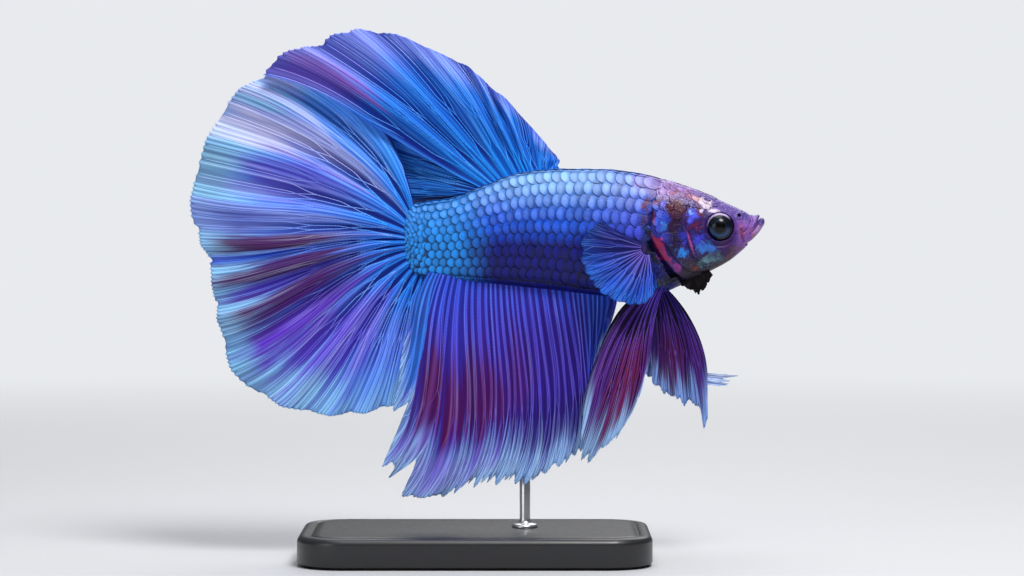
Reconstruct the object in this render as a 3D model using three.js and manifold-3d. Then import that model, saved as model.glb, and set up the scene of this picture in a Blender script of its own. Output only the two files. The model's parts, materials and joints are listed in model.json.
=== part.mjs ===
// A male halfmoon betta fish (Betta splendens), life size, on a plain display stand.
// Millimetres, +Z up. The nose points along +X and the fish's right side faces -Y.
// The origin is the middle of the stand's foot, on the surface that it stands on.
import * as THREE from "three";
import { mergeVertices } from "three/addons/utils/BufferGeometryUtils.js";
import Module from "manifold-3d";

const wasm = await Module();
wasm.setup();

// ---------------------------------------------------------------- driving sizes
const GAP = 0.32; // air between neighbouring pieces
const FIN_HALF = 0.36; // half a fin's thickness, measured along Y
const FINENESS = 0.06; // how far a face may stray from the curve it stands for
const RING_SIDES = 24; // points round a section of the body

// Sections of the body, from the tail root to the lips:
// [x, top of the back, line of the belly, half width, roundness of the lower half]
const SECTIONS = [
  [-9.3, 43.6, 40.4, 0.3, 2.0],
  [-8.75, 45.7, 38.5, 0.55, 2.0],
  [-7.75, 46.6, 37.4, 0.85, 2.0],
  [-5.9, 46.9, 36.7, 1.25, 1.9],
  [-3.25, 47.3, 36.5, 1.75, 1.8],
  [1.0, 48.9, 36.2, 2.4, 1.7],
  [6.0, 50.6, 35.7, 3.0, 1.65],
  [11.0, 51.1, 35.2, 3.4, 1.7],
  [16.0, 51.1, 34.6, 3.6, 1.85],
  [21.0, 50.6, 34.2, 3.75, 2.0],
  [24.1, 49.95, 34.8, 3.7, 2.0],
  [27.25, 49.0, 36.2, 3.45, 2.0],
  [30.4, 47.85, 37.6, 3.1, 2.0],
  [32.9, 46.7, 38.95, 2.7, 2.1],
  [34.75, 45.85, 40.4, 2.25, 2.2],
  [36.25, 45.15, 41.9, 1.75, 2.2],
  [37.25, 44.75, 43.15, 1.15, 2.2],
  [37.75, 44.3, 43.9, 0.35, 2.0],
];
const UPPER_ROUNDNESS = 2.1;
const WIDEST_AT = 0.55; // height of the widest line, as a share of the depth
const STEPS_PER_SECTION = 2;

const EYE = { x: 31.75, z: 43.65, radius: 1.8, depth: 1.25, sunk: 0.45 };

// The mouth is a steep cut that runs down and back from the lips.
const MOUTH = { x: 36.95, z: 44.75, slope: [-0.439, -0.899] };

const HEAD_CUT = { x: 24.3, z: 42.5, lean: 0.33 }; // parts the head from the trunk, leaning forward below
const STALK_CUT_X = -2.2; // parts the trunk from the tail stalk

const ROD = { x: 6.5, y: 1.8, radius: 0.7, foot: 1.8, top: 42 };
const BASE = { length: 46, depth: 27, height: 4, corner: 6, bevel: 0.6 };

// ---------------------------------------------------------------- curves
const mix = (a, b, t) => a + (b - a) * t;
const clamp01 = (t) => Math.min(1, Math.max(0, t));
const smooth = (a, b, t) => {
  const s = clamp01((t - a) / (b - a));
  return s * s * (3 - 2 * s);
};

// A smooth curve through [at, value] pairs that never overshoots them.
function curve(pairs) {
  const last = pairs.length - 1;
  const slope = [];
  for (let i = 0; i < last; i++)
    slope.push((pairs[i + 1][1] - pairs[i][1]) / (pairs[i + 1][0] - pairs[i][0]));
  const tangent = pairs.map((_, i) => {
    if (i === 0) return slope[0];
    if (i === last) return slope[last - 1];
    const [a, b] = [slope[i - 1], slope[i]];
    return a * b <= 0 ? 0 : (2 * a * b) / (a + b);
  });
  return (at) => {
    let i = 0;
    while (i < last - 1 && at > pairs[i + 1][0]) i++;
    const [x0, y0] = pairs[i];
    const [x1, y1] = pairs[i + 1];
    const h = x1 - x0;
    const t = clamp01((at - x0) / h);
    const t2 = t * t;
    const t3 = t2 * t;
    return (
      (2 * t3 - 3 * t2 + 1) * y0 +
      (t3 - 2 * t2 + t) * h * tangent[i] +
      (3 * t2 - 2 * t3) * y1 +
      (t3 - t2) * h * tangent[i + 1]
    );
  };
}

// A path in the X-Z plane through [at, x, z] triples.
function path(triples) {
  const x = curve(triples.map((p) => [p[0], p[1]]));
  const z = curve(triples.map((p) => [p[0], p[2]]));
  return (at) => [x(at), z(at)];
}

// ---------------------------------------------------------------- solids
function solidOf(geometry) {
  const bare = geometry.clone();
  bare.deleteAttribute("normal");
  bare.deleteAttribute("uv");
  const merged = mergeVertices(bare, 1e-4);
  return new wasm.Manifold(
    new wasm.Mesh({
      numProp: 3,
      vertProperties: merged.attributes.position.array,
      triVerts: new Uint32Array(merged.index.array),
    }),
  );
}

function geometryOf(solid) {
  const mesh = solid.getMesh();
  const positions = new Float32Array(mesh.numVert * 3);
  for (let i = 0; i < mesh.numVert; i++)
    positions.set(mesh.vertProperties.subarray(i * mesh.numProp, i * mesh.numProp + 3), i * 3);
  const geometry = new THREE.BufferGeometry();
  geometry.setAttribute("position", new THREE.BufferAttribute(positions, 3));
  geometry.setIndex(new THREE.BufferAttribute(mesh.triVerts, 1));
  geometry.computeVertexNormals();
  return geometry;
}

function indexed(points, faces) {
  const geometry = new THREE.BufferGeometry();
  geometry.setAttribute("position", new THREE.Float32BufferAttribute(points.flat(), 3));
  geometry.setIndex(faces);
  return geometry;
}

// Joins closed rings of points into a tube, each end closed by a fan.
function loft(rings) {
  const sides = rings[0].length;
  const points = rings.flat();
  const faces = [];
  for (let r = 0; r < rings.length - 1; r++)
    for (let s = 0; s < sides; s++) {
      const a = r * sides + s;
      const b = r * sides + ((s + 1) % sides);
      faces.push(a, b, b + sides, a, b + sides, a + sides);
    }
  for (const [r, turn] of [[0, 1], [rings.length - 1, 0]]) {
    const hub = points.length;
    points.push([0, 1, 2].map((k) => rings[r].reduce((sum, p) => sum + p[k], 0) / sides));
    for (let s = 0; s < sides; s++) {
      const a = r * sides + s;
      const b = r * sides + ((s + 1) % sides);
      faces.push(...(turn ? [hub, b, a] : [hub, a, b]));
    }
  }
  return indexed(points, faces);
}

// Closes two matching grids of points, near and far, into a thin slab.
function slab(near, far) {
  const columns = near.length;
  const rows = near[0].length;
  const points = [...near.flat(), ...far.flat()];
  const back = columns * rows;
  const at = (i, j) => i * rows + j;
  const faces = [];
  for (let i = 0; i < columns - 1; i++)
    for (let j = 0; j < rows - 1; j++) {
      const [a, b, c, d] = [at(i, j), at(i + 1, j), at(i + 1, j + 1), at(i, j + 1)];
      faces.push(a, b, c, a, c, d, back + a, back + c, back + b, back + a, back + d, back + c);
    }
  const rim = [];
  for (let i = 0; i < columns; i++) rim.push(at(i, 0));
  for (let j = 1; j < rows; j++) rim.push(at(columns - 1, j));
  for (let i = columns - 2; i >= 0; i--) rim.push(at(i, rows - 1));
  for (let j = rows - 2; j > 0; j--) rim.push(at(0, j));
  rim.forEach((a, k) => {
    const b = rim[(k + 1) % rim.length];
    faces.push(a, back + a, back + b, a, back + b, b);
  });
  return indexed(points, faces);
}

const outward = (solid) => {
  if (solid.volume() > 0) return solid;
  const mesh = solid.getMesh();
  for (let i = 0; i < mesh.triVerts.length; i += 3)
    [mesh.triVerts[i + 1], mesh.triVerts[i + 2]] = [mesh.triVerts[i + 2], mesh.triVerts[i + 1]];
  return new wasm.Manifold(mesh);
};

// A flat outline in the X-Z plane through a few points, pushed through from Y = from to Y = to.
function prism(outline, from, to) {
  const shape = new THREE.Shape();
  shape.moveTo(...outline[0]);
  shape.splineThru([...outline.slice(1), outline[0]].map(([x, z]) => new THREE.Vector2(x, z)));
  const geometry = new THREE.ExtrudeGeometry(shape, {
    depth: to - from,
    bevelEnabled: false,
    curveSegments: 3,
  });
  geometry.rotateX(Math.PI / 2); // the depth now runs along -Y
  geometry.translate(0, to, 0);
  return solidOf(geometry);
}

// A box centred on a point of the X-Z plane, its long side along a direction.
function thinCut(x, z, direction, length, thickness) {
  const geometry = new THREE.BoxGeometry(thickness, 60, length);
  geometry.rotateY(Math.atan2(direction[0], direction[1]));
  geometry.translate(x, 0, z);
  return solidOf(geometry);
}

// ---------------------------------------------------------------- body
const column = (k) => curve(SECTIONS.map((s) => [s[0], s[k]]));
const [backLine, bellyLine, halfWidth, lowerRoundness] = [1, 2, 3, 4].map(column);

function section(x, grow) {
  const top = backLine(x) + grow;
  const bottom = bellyLine(x) - grow;
  const side = Math.max(0.05, halfWidth(x) + grow);
  const middle = mix(bottom, top, WIDEST_AT);
  return { top, bottom, side, middle };
}

function bodyRing(x, grow) {
  const { top, bottom, side, middle } = section(x, grow);
  const ring = [];
  for (let k = 0; k < RING_SIDES; k++) {
    const angle = (2 * Math.PI * k) / RING_SIDES;
    const [c, s] = [Math.cos(angle), Math.sin(angle)];
    const power = 2 / (s > 0 ? UPPER_ROUNDNESS : lowerRoundness(x));
    const height = s > 0 ? top - middle : middle - bottom;
    ring.push([
      x,
      side * Math.sign(c) * Math.abs(c) ** power,
      middle + height * Math.sign(s) * Math.abs(s) ** power,
    ]);
  }
  return ring;
}

// The whole body as one form, grown or shrunk all round by grow.
function bodyForm(grow) {
  const rings = [];
  for (let i = 0; i < SECTIONS.length - 1; i++)
    for (let k = 0; k < STEPS_PER_SECTION; k++)
      rings.push(mix(SECTIONS[i][0], SECTIONS[i + 1][0], k / STEPS_PER_SECTION));
  rings.push(SECTIONS.at(-1)[0]);
  const middle = (rings[0] + rings.at(-1)) / 2;
  const stretch = 1 + grow / (rings.at(-1) - middle);
  const made = rings.map((at) => bodyRing(at, grow).map(([x, y, z]) => [middle + (x - middle) * stretch, y, z]));
  return outward(solidOf(loft(made)));
}

const body = bodyForm(0);
const bodyWithAir = bodyForm(GAP);

// ---------------------------------------------------------------- eyes
function ellipsoid(x, y, z, radius, depth) {
  const geometry = new THREE.SphereGeometry(1, 14, 8);
  geometry.scale(radius, depth, radius);
  geometry.translate(x, y, z);
  return solidOf(geometry);
}

function eyeball(sideSign, grow) {
  const y = sideSign * (halfWidth(EYE.x) - EYE.sunk);
  return ellipsoid(EYE.x, y, EYE.z, EYE.radius + grow, EYE.depth + grow);
}

// ---------------------------------------------------------------- gill covers
const COVER_OUTLINE = [
  [23.5, 47.5],
  [22.7, 45.2],
  [23.0, 42.6],
  [24.6, 39.9],
  [26.8, 37.9],
  [28.4, 38.9],
  [28.2, 41.8],
  [27.6, 45.2],
  [26.0, 47.3],
];
const COVER_THICKNESS = 0.65;
const COVER_REACH = 8; // how far the outline is pushed out to each side

function coverBlank(sideSign, grow) {
  const centre = [
    COVER_OUTLINE.reduce((sum, p) => sum + p[0], 0) / COVER_OUTLINE.length,
    COVER_OUTLINE.reduce((sum, p) => sum + p[1], 0) / COVER_OUTLINE.length,
  ];
  const outline = COVER_OUTLINE.map(([x, z]) => {
    const away = Math.hypot(x - centre[0], z - centre[1]);
    const share = (away + grow) / away;
    return [mix(centre[0], x, share), mix(centre[1], z, share)];
  });
  return sideSign < 0 ? prism(outline, -COVER_REACH, 0) : prism(outline, 0, COVER_REACH);
}

const underCover = bodyForm(-COVER_THICKNESS);
const underRecess = bodyForm(-COVER_THICKNESS - 1.3 * GAP);

function gillCover(sideSign) {
  return body.intersect(coverBlank(sideSign, 0)).subtract(underCover);
}

// ---------------------------------------------------------------- head, jaw, trunk and tail stalk
const headCut = thinCut(HEAD_CUT.x, HEAD_CUT.z, [-HEAD_CUT.lean, 1], 60, GAP);
const mouthCut = thinCut(MOUTH.x, MOUTH.z, MOUTH.slope, 40, GAP);
const stalkCut = thinCut(STALK_CUT_X, 42, [0, 1], 60, GAP);

const recesses = [-1, 1].map((s) => coverBlank(s, GAP).subtract(underRecess));
const sockets = [-1, 1].map((s) => eyeball(s, GAP));

// The piece of a form that was cut into several whose middle lies furthest along +X, counted from the front.
function piecesFromFront(form) {
  const middleX = (piece) => (piece.boundingBox().min[0] + piece.boundingBox().max[0]) / 2;
  return form
    .decompose()
    .filter((piece) => piece.volume() > 1)
    .sort((a, b) => middleX(b) - middleX(a));
}

function rodForm(grow) {
  const height = ROD.top - ROD.foot + 2 * grow;
  const geometry = new THREE.CylinderGeometry(ROD.radius + grow, ROD.radius + grow, height, 16);
  geometry.rotateX(Math.PI / 2);
  geometry.translate(ROD.x, ROD.y, (ROD.foot + ROD.top) / 2);
  return solidOf(geometry);
}

let flesh = body.subtract(headCut).subtract(mouthCut).subtract(stalkCut).subtract(rodForm(GAP));
for (const cut of [...recesses, ...sockets]) flesh = flesh.subtract(cut);
const [jawSolid, headSolid, trunkSolid, stalkSolid] = piecesFromFront(flesh);

// ---------------------------------------------------------------- fins
// A fin is a fan of rays. u runs across the rays and v along each ray, from root to tip.
// A ray leaves its root along one angle and reaches its tip along another, both in degrees
// from +X towards +Z, so that it can sweep or curl. sway(u, v) is how far the fin stands
// to the side, and folds lie across the rays like the pleats of a fan.
const radians = (degrees) => (degrees * Math.PI) / 180;

function rayPoint(fin, u, v) {
  const [x0, z0] = fin.root(u);
  const [x3, z3] = fin.tip(u);
  const reach = Math.hypot(x3 - x0, z3 - z0) / 3;
  const [a, b] = [radians(fin.rootAngle(u)), radians(fin.tipAngle(u))];
  const [x1, z1] = [x0 + reach * Math.cos(a), z0 + reach * Math.sin(a)];
  const [x2, z2] = [x3 - reach * Math.cos(b), z3 - reach * Math.sin(b)];
  const w = 1 - v;
  const weights = [w * w * w, 3 * w * w * v, 3 * w * v * v, v * v * v];
  return [
    weights[0] * x0 + weights[1] * x1 + weights[2] * x2 + weights[3] * x3,
    weights[0] * z0 + weights[1] * z1 + weights[2] * z2 + weights[3] * z3,
  ];
}

function foldHeight(fin, u, v) {
  return fin.foldDepth * v * Math.cos(2 * Math.PI * (fin.folds * u + 0.22 * Math.sin(2 * Math.PI * 2.3 * u)));
}

function finSolid(fin) {
  const near = [];
  const far = [];
  for (let i = 0; i <= fin.columns; i++) {
    const u = i / fin.columns;
    const nearLine = [];
    const farLine = [];
    const length = i % 2 ? 1 - fin.notch : 1; // the web falls short of the ray tips
    for (let j = 0; j <= fin.rows; j++) {
      const v = (length * j) / fin.rows;
      const [x, z] = rayPoint(fin, u, v);
      const y = fin.sway(u, v) + foldHeight(fin, u, v);
      nearLine.push([x, y - FIN_HALF, z]);
      farLine.push([x, y + FIN_HALF, z]);
    }
    near.push(nearLine);
    far.push(farLine);
  }
  return outward(solidOf(slab(near, far)));
}

// Tail fin: rays spread from the tail stalk over about a half circle.
const TAIL_HUB = [-5.25, 41.7];
const tailRadius = curve([
  [133, 29.6],
  [148, 32.9],
  [170, 32.9],
  [188, 30.2],
  [200, 31.0],
  [213, 32.1],
  [228, 29.7],
  [244, 25.6],
  [255, 22.7],
  [265, 18.6],
]);
const tailRootRadius = curve([[121, 5.4], [180, 3.2], [262, 4.6]]);
const around = (hub, radius, degrees) => [
  hub[0] + radius * Math.cos(radians(degrees)),
  hub[1] + radius * Math.sin(radians(degrees)),
];
const caudal = {
  columns: 48,
  rows: 6,
  notch: 0.02,
  folds: 12,
  foldDepth: 0.65,
  root: (u) => around(TAIL_HUB, tailRootRadius(mix(121, 258, u)), mix(121, 258, u)),
  tip: (u) => around(TAIL_HUB, tailRadius(mix(133, 265, u)), mix(133, 265, u)),
  rootAngle: curve([[0, 98], [0.12, 126], [0.3, 158], [0.5, 183], [0.7, 209], [0.88, 240], [1, 262]]),
  tipAngle: curve([[0, 172], [0.12, 161], [0.3, 169], [0.5, 187], [0.7, 212], [0.88, 248], [1, 268]]),
  sway: (u, v) => 0.55 * smooth(0.2, 1, v) * Math.sin(Math.PI * (1.7 * u + 0.1)) + 0.5 * smooth(0.7, 1, u),
};

// Dorsal fin: a swept blade in front of the tail fin, and a short rear lobe tucked behind it.
const dorsalBlade = {
  columns: 28,
  rows: 6,
  notch: 0.025,
  folds: 7,
  foldDepth: 0.45,
  root: path([[0, 10.8, 50.6], [0.5, 6.4, 49.9], [1, 2.2, 48.4]]),
  tip: path([
    [0, 10.8, 52.6],
    [0.08, 8.9, 54.9],
    [0.2, 5.0, 59.0],
    [0.32, 0.2, 63.4],
    [0.45, -6.2, 67.2],
    [0.58, -12.6, 69.2],
    [0.68, -17.4, 69.6],
    [0.72, -19.4, 68.7],
    [0.75, -20.6, 67.2],
    [0.84, -24.0, 67.2],
    [0.93, -27.2, 64.9],
    [1, -28.5, 63.1],
  ]),
  rootAngle: curve([[0, 100], [0.3, 122], [0.7, 141], [1, 152]]),
  tipAngle: curve([[0, 96], [0.2, 132], [0.5, 150], [0.75, 164], [1, 176]]),
  sway: (u, v) => -1.75 * smooth(0.25, 1, u) * smooth(0.15, 0.6, v),
};
const dorsalRear = {
  columns: 8,
  rows: 4,
  notch: 0.02,
  folds: 2,
  foldDepth: 0.25,
  root: path([[0, 3.6, 48.9], [0.5, 2.0, 48.1], [1, 0.6, 47.6]]),
  tip: path([[0, -12.4, 57.4], [0.3, -14.6, 54.2], [0.65, -14.0, 51.0], [1, -10.4, 48.5]]),
  rootAngle: curve([[0, 151], [0.5, 163], [1, 176]]),
  tipAngle: curve([[0, 150], [0.5, 166], [1, 184]]),
  sway: (u, v) => 0.2 + 1.75 * smooth(0.2, 0.62, v) * smooth(-0.2, 0.25, u),
};

// Anal fin: many near-parallel rays along the belly, swept back at the hem.
const anal = {
  columns: 44,
  rows: 6,
  notch: 0.035,
  folds: 11,
  foldDepth: 0.24,
  root: path([[0, -5.0, 37.4], [0.25, -1.5, 37.0], [0.5, 5.0, 36.4], [0.75, 11.5, 35.9], [1, 18.3, 34.9]]),
  tip: path([
    [0, -9.3, 28.8],
    [0.045, -11.1, 18.8],
    [0.068, -9.3, 20.4],
    [0.091, -13.0, 11.5],
    [0.114, -11.2, 11.4],
    [0.136, -12.6, 9.6],
    [0.159, -8.2, 13.0],
    [0.182, -10.6, 7.9],
    [0.22, -8.2, 7.1],
    [0.28, -4.6, 7.6],
    [0.38, -1.0, 9.2],
    [0.48, 3.0, 9.6],
    [0.58, 6.2, 9.3],
    [0.68, 9.9, 11.0],
    [0.78, 13.4, 13.4],
    [0.85, 14.4, 15.6],
    [0.92, 14.9, 22.0],
    [0.97, 16.0, 29.4],
    [1, 17.9, 33.2],
  ]),
  rootAngle: curve([[0, 237], [0.15, 252], [0.4, 268], [0.7, 277], [1, 272]]),
  tipAngle: curve([[0, 246], [0.08, 222], [0.15, 222], [0.4, 231], [0.65, 244], [0.85, 262], [1, 268]]),
  sway: (u, v) => -1.6 * (1 - smooth(0.05, 0.42, u)) * (0.5 + 0.5 * smooth(0, 0.3, v)),
};

// Pectoral fins: small rounded fans that stand off the flanks behind the gill covers.
const PECTORAL_HUB = [22.4, 40.9];
const pectoralRadius = curve([[0, 6.2], [0.25, 8.2], [0.6, 7.9], [0.85, 7.2], [1, 5.2]]);
const pectoral = (sideSign) => ({
  columns: 14,
  rows: 4,
  notch: 0.04,
  folds: 4,
  foldDepth: 0.22,
  root: (u) => around(PECTORAL_HUB, 0.9, mix(150, 290, u)),
  tip: (u) => around(PECTORAL_HUB, pectoralRadius(u), mix(158, 282, u)),
  rootAngle: (u) => mix(156, 284, u),
  tipAngle: (u) => mix(166, 276, u),
  sway: (u, v) => sideSign * (halfWidth(PECTORAL_HUB[0]) + 0.05 + 2.5 * v * (1 - 0.3 * v)),
});

// Pelvic fins: long narrow blades under the throat, one swept back and one let down.
const pelvicRight = {
  columns: 12,
  rows: 6,
  notch: 0.03,
  folds: 3,
  foldDepth: 0.3,
  root: path([[0, 23.3, 34.5], [1, 24.5, 34.4]]),
  tip: path([
    [0, 14.0, 19.4],
    [0.14, 13.6, 16.4],
    [0.27, 13.3, 12.9],
    [0.38, 14.3, 12.3],
    [0.5, 17.2, 15.0],
    [0.68, 18.8, 16.7],
    [0.85, 20.6, 20.2],
    [1, 21.6, 23.0],
  ]),
  rootAngle: curve([[0, 194], [0.35, 226], [1, 252]]),
  tipAngle: curve([[0, 262], [0.35, 246], [0.7, 236], [1, 252]]),
  sway: (u, v) => -1.3 - 2.0 * smooth(0, 0.5, v),
};
const pelvicLeft = {
  columns: 12,
  rows: 6,
  notch: 0.03,
  folds: 3,
  foldDepth: 0.25,
  root: path([[0, 23.4, 34.4], [1, 24.9, 34.4]]),
  tip: path([
    [0, 22.2, 23.5],
    [0.3, 24.8, 21.4],
    [0.55, 27.2, 19.8],
    [0.76, 29.2, 19.4],
    [0.86, 30.1, 16.4],
    [0.95, 30.7, 19.3],
    [1, 30.7, 21.6],
  ]),
  rootAngle: curve([[0, 262], [1, 318]]),
  tipAngle: curve([[0, 258], [0.5, 276], [1, 268]]),
  sway: (u, v) => 1.3 + 0.8 * smooth(0, 0.6, v),
};
// A pale split ray of the left pelvic fin that curls forward.
const streamer = {
  columns: 2,
  rows: 6,
  notch: 0.12,
  folds: 1,
  foldDepth: 0,
  root: path([[0, 24.6, 34.2], [1, 25.0, 34.3]]),
  tip: path([[0, 35.0, 23.1], [1, 35.2, 23.9]]),
  rootAngle: () => 296,
  tipAngle: () => 4,
  sway: (u, v) => 1.3 + 0.8 * smooth(0, 0.6, v),
};

// Gill frills: the dark edges of the gill membrane that hang under the throat.
const frill = (sideSign) => ({
  columns: 6,
  rows: 3,
  notch: 0.06,
  folds: 2,
  foldDepth: 0.12,
  root: path([[0, 27.2, 37.4], [1, 30.6, 38.4]]),
  tip: path([[0, 27.4, 35.5], [0.3, 28.4, 34.9], [0.6, 29.3, 34.5], [0.8, 30.2, 35.6], [1, 31.0, 37.0]]),
  rootAngle: () => 268,
  tipAngle: () => 276,
  sway: (u, v) => sideSign * (0.85 + 0.35 * v),
});

const trimmed = (fin) => {
  const pieces = finSolid(fin).subtract(bodyWithAir).decompose();
  return pieces.sort((a, b) => b.volume() - a.volume())[0];
};

// ---------------------------------------------------------------- stand
function baseForm() {
  const [w, d, r] = [BASE.length / 2 - BASE.bevel, BASE.depth / 2 - BASE.bevel, BASE.corner];
  const shape = new THREE.Shape();
  shape.moveTo(-w + r, -d);
  shape.lineTo(w - r, -d);
  shape.absarc(w - r, -d + r, r, -Math.PI / 2, 0);
  shape.lineTo(w, d - r);
  shape.absarc(w - r, d - r, r, 0, Math.PI / 2);
  shape.lineTo(-w + r, d);
  shape.absarc(-w + r, d - r, r, Math.PI / 2, Math.PI);
  shape.lineTo(-w, -d + r);
  shape.absarc(-w + r, -d + r, r, Math.PI, 1.5 * Math.PI);
  const geometry = new THREE.ExtrudeGeometry(shape, {
    depth: BASE.height - 2 * BASE.bevel,
    bevelSize: BASE.bevel,
    bevelThickness: BASE.bevel,
    bevelSegments: 1,
    curveSegments: 6,
  });
  geometry.translate(0, 0, BASE.bevel);
  return solidOf(geometry).subtract(rodForm(GAP));
}

// ---------------------------------------------------------------- assembly
const material = (name, color, roughness, metalness) =>
  new THREE.MeshStandardMaterial({ name, color, roughness, metalness });
const MATERIALS = {
  scales: material("scales", 0x2f6fd0, 0.38, 0),
  head: material("head_skin", 0x5a4a8c, 0.45, 0),
  frill: material("gill_frill", 0x1a0c12, 0.6, 0),
  eye: material("eye", 0x0a0f18, 0.1, 0),
  fin: material("fin_web", 0x3a62d4, 0.45, 0),
  base: material("stand_black", 0x16171a, 0.5, 0),
  rod: material("stand_steel", 0xb8bcc2, 0.25, 1),
};

const fish = new THREE.Group();
function add(name, solid, finish) {
  const mesh = new THREE.Mesh(geometryOf(solid.simplify(FINENESS)), MATERIALS[finish]);
  mesh.name = name;
  fish.add(mesh);
}

add("head", headSolid, "head");
add("lower_jaw", jawSolid, "head");
add("trunk", trunkSolid, "scales");
add("tail_stalk", stalkSolid, "scales");
for (const [side, sign] of [["right", -1], ["left", 1]]) {
  add(`eye_${side}`, eyeball(sign, 0), "eye");
  add(`gill_cover_${side}`, gillCover(sign), "head");
  add(`gill_frill_${side}`, trimmed(frill(sign)), "frill");
  add(`pectoral_fin_${side}`, trimmed(pectoral(sign)), "fin");
}
add("caudal_fin", trimmed(caudal), "fin");
add("dorsal_fin", trimmed(dorsalBlade).add(trimmed(dorsalRear)), "fin");
add("anal_fin", trimmed(anal), "fin");
add("pelvic_fin_right", trimmed(pelvicRight), "fin");
add("pelvic_fin_left", trimmed(pelvicLeft).add(trimmed(streamer)), "fin");
add("stand_base", baseForm(), "base");
add("stand_rod", rodForm(0), "rod");

export default fish;
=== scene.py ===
"""A male halfmoon betta fish, life size, on a display stand: skin, scales, fins, eyes and finishes."""

import json
import math

import bmesh
import bpy
import numpy as np
from mathutils import Matrix, Vector

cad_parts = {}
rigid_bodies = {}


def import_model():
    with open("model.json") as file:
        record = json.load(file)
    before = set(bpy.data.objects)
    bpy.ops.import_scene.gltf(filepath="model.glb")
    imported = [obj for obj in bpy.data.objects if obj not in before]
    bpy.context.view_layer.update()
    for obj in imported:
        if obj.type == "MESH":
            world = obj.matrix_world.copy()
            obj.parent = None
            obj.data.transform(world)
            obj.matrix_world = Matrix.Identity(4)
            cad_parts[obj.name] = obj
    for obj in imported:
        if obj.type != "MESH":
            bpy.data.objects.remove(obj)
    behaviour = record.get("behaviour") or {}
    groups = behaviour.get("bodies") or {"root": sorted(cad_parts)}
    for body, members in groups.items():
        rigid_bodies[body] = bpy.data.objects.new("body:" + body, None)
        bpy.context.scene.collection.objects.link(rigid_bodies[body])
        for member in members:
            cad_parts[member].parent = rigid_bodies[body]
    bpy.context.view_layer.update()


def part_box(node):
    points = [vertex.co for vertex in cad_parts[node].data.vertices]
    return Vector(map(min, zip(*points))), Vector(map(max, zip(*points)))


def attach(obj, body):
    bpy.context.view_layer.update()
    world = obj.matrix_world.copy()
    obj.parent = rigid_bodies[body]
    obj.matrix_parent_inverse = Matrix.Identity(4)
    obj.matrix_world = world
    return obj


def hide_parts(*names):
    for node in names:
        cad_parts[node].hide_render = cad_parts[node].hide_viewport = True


bl_info = {
    "name": "Betta fish",
    "version": (1, 0, 0),
    "blender": (4, 5, 0),
    "location": "View3D > Sidebar > Betta",
    "description": "Builds a life-size halfmoon betta fish on its display stand",
    "category": "Object",
}

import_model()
MM = 0.001  # the shapes below are worked out in millimetres
TURN = 2 * math.pi
RIGHT, LEFT = -1, 1  # the fish's right side faces -Y
BOTH_SIDES = ((RIGHT, "right"), (LEFT, "left"))


# ---------------------------------------------------------------- curves
def mix(a, b, t):
    """From a where t is 0 to b where it is 1."""
    return a + (b - a) * t


def smooth(low, high, t):
    """0 at low, 1 at high and level beyond them; low may be the greater."""
    s = np.clip((np.asarray(t, float) - low) / (high - low), 0, 1)
    return s * s * (3 - 2 * s)


def bell(distance, width):
    """1 on a line or point, falling away over about this width."""
    return np.exp(-((distance / width) ** 2))


def rounded_max(a, b, radius):
    """The greater of two distances, with the corner where they meet rounded off."""
    near = np.maximum(radius - np.abs(a - b), 0)
    return np.maximum(a, b) + near * near / (4 * radius)


def curve(pairs):
    """A smooth curve through (at, value) pairs that never overshoots them."""
    at, value = np.array(pairs, float).T
    step = np.diff(at)
    slope = np.diff(value) / step
    before, after = slope[:-1], slope[1:]
    same_way = before * after > 0
    inner = np.where(same_way, 2 * before * after / np.where(same_way, before + after, 1), 0)
    tangent = np.concatenate([slope[:1], inner, slope[-1:]])

    def read(where):
        i = np.clip(np.searchsorted(at, where) - 1, 0, len(step) - 1)
        t = np.clip((where - at[i]) / step[i], 0, 1)
        bend = t * (1 - t) * ((1 - t) * tangent[i] - t * tangent[i + 1]) * step[i]
        return mix(value[i], value[i + 1], (3 - 2 * t) * t * t) + bend

    return read


def path(triples):
    """A curve in the X-Z plane through (at, x, z) triples."""
    x, z = (curve([(p[0], p[k]) for p in triples]) for k in (1, 2))
    return lambda at: (x(at), z(at))


def around(hub, radius, degrees):
    """The point or points at this radius and angle from a hub."""
    angle = np.radians(degrees)
    return hub[0] + radius * np.cos(angle), hub[1] + radius * np.sin(angle)


def near_line(x, z, points):
    """Distance to a rounded line through points, the share of its length there, and the side (+ is left)."""
    line = path([(k, *point) for k, point in enumerate(points)])
    stops = np.column_stack(line(np.linspace(0, len(points) - 1, 6 * len(points) - 5)))
    lengths = np.hypot(*np.diff(stops, axis=0).T)
    before = np.cumsum(lengths) - lengths
    best, along, side = np.full(np.broadcast(x, z).shape, 1e9), 0.0, 1.0
    for k, (a, b) in enumerate(zip(stops[:-1], stops[1:])):
        run, rise = b - a
        t = np.clip(((x - a[0]) * run + (z - a[1]) * rise) / lengths[k] ** 2, 0, 1)
        dx, dz = x - a[0] - t * run, z - a[1] - t * rise
        distance = np.hypot(dx, dz)
        closer = distance < best
        best = np.where(closer, distance, best)
        along = np.where(closer, (before[k] + t * lengths[k]) / lengths.sum(), along)
        side = np.where(closer, np.where(run * dz < rise * dx, -1.0, 1.0), side)
    return best, along, side


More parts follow.
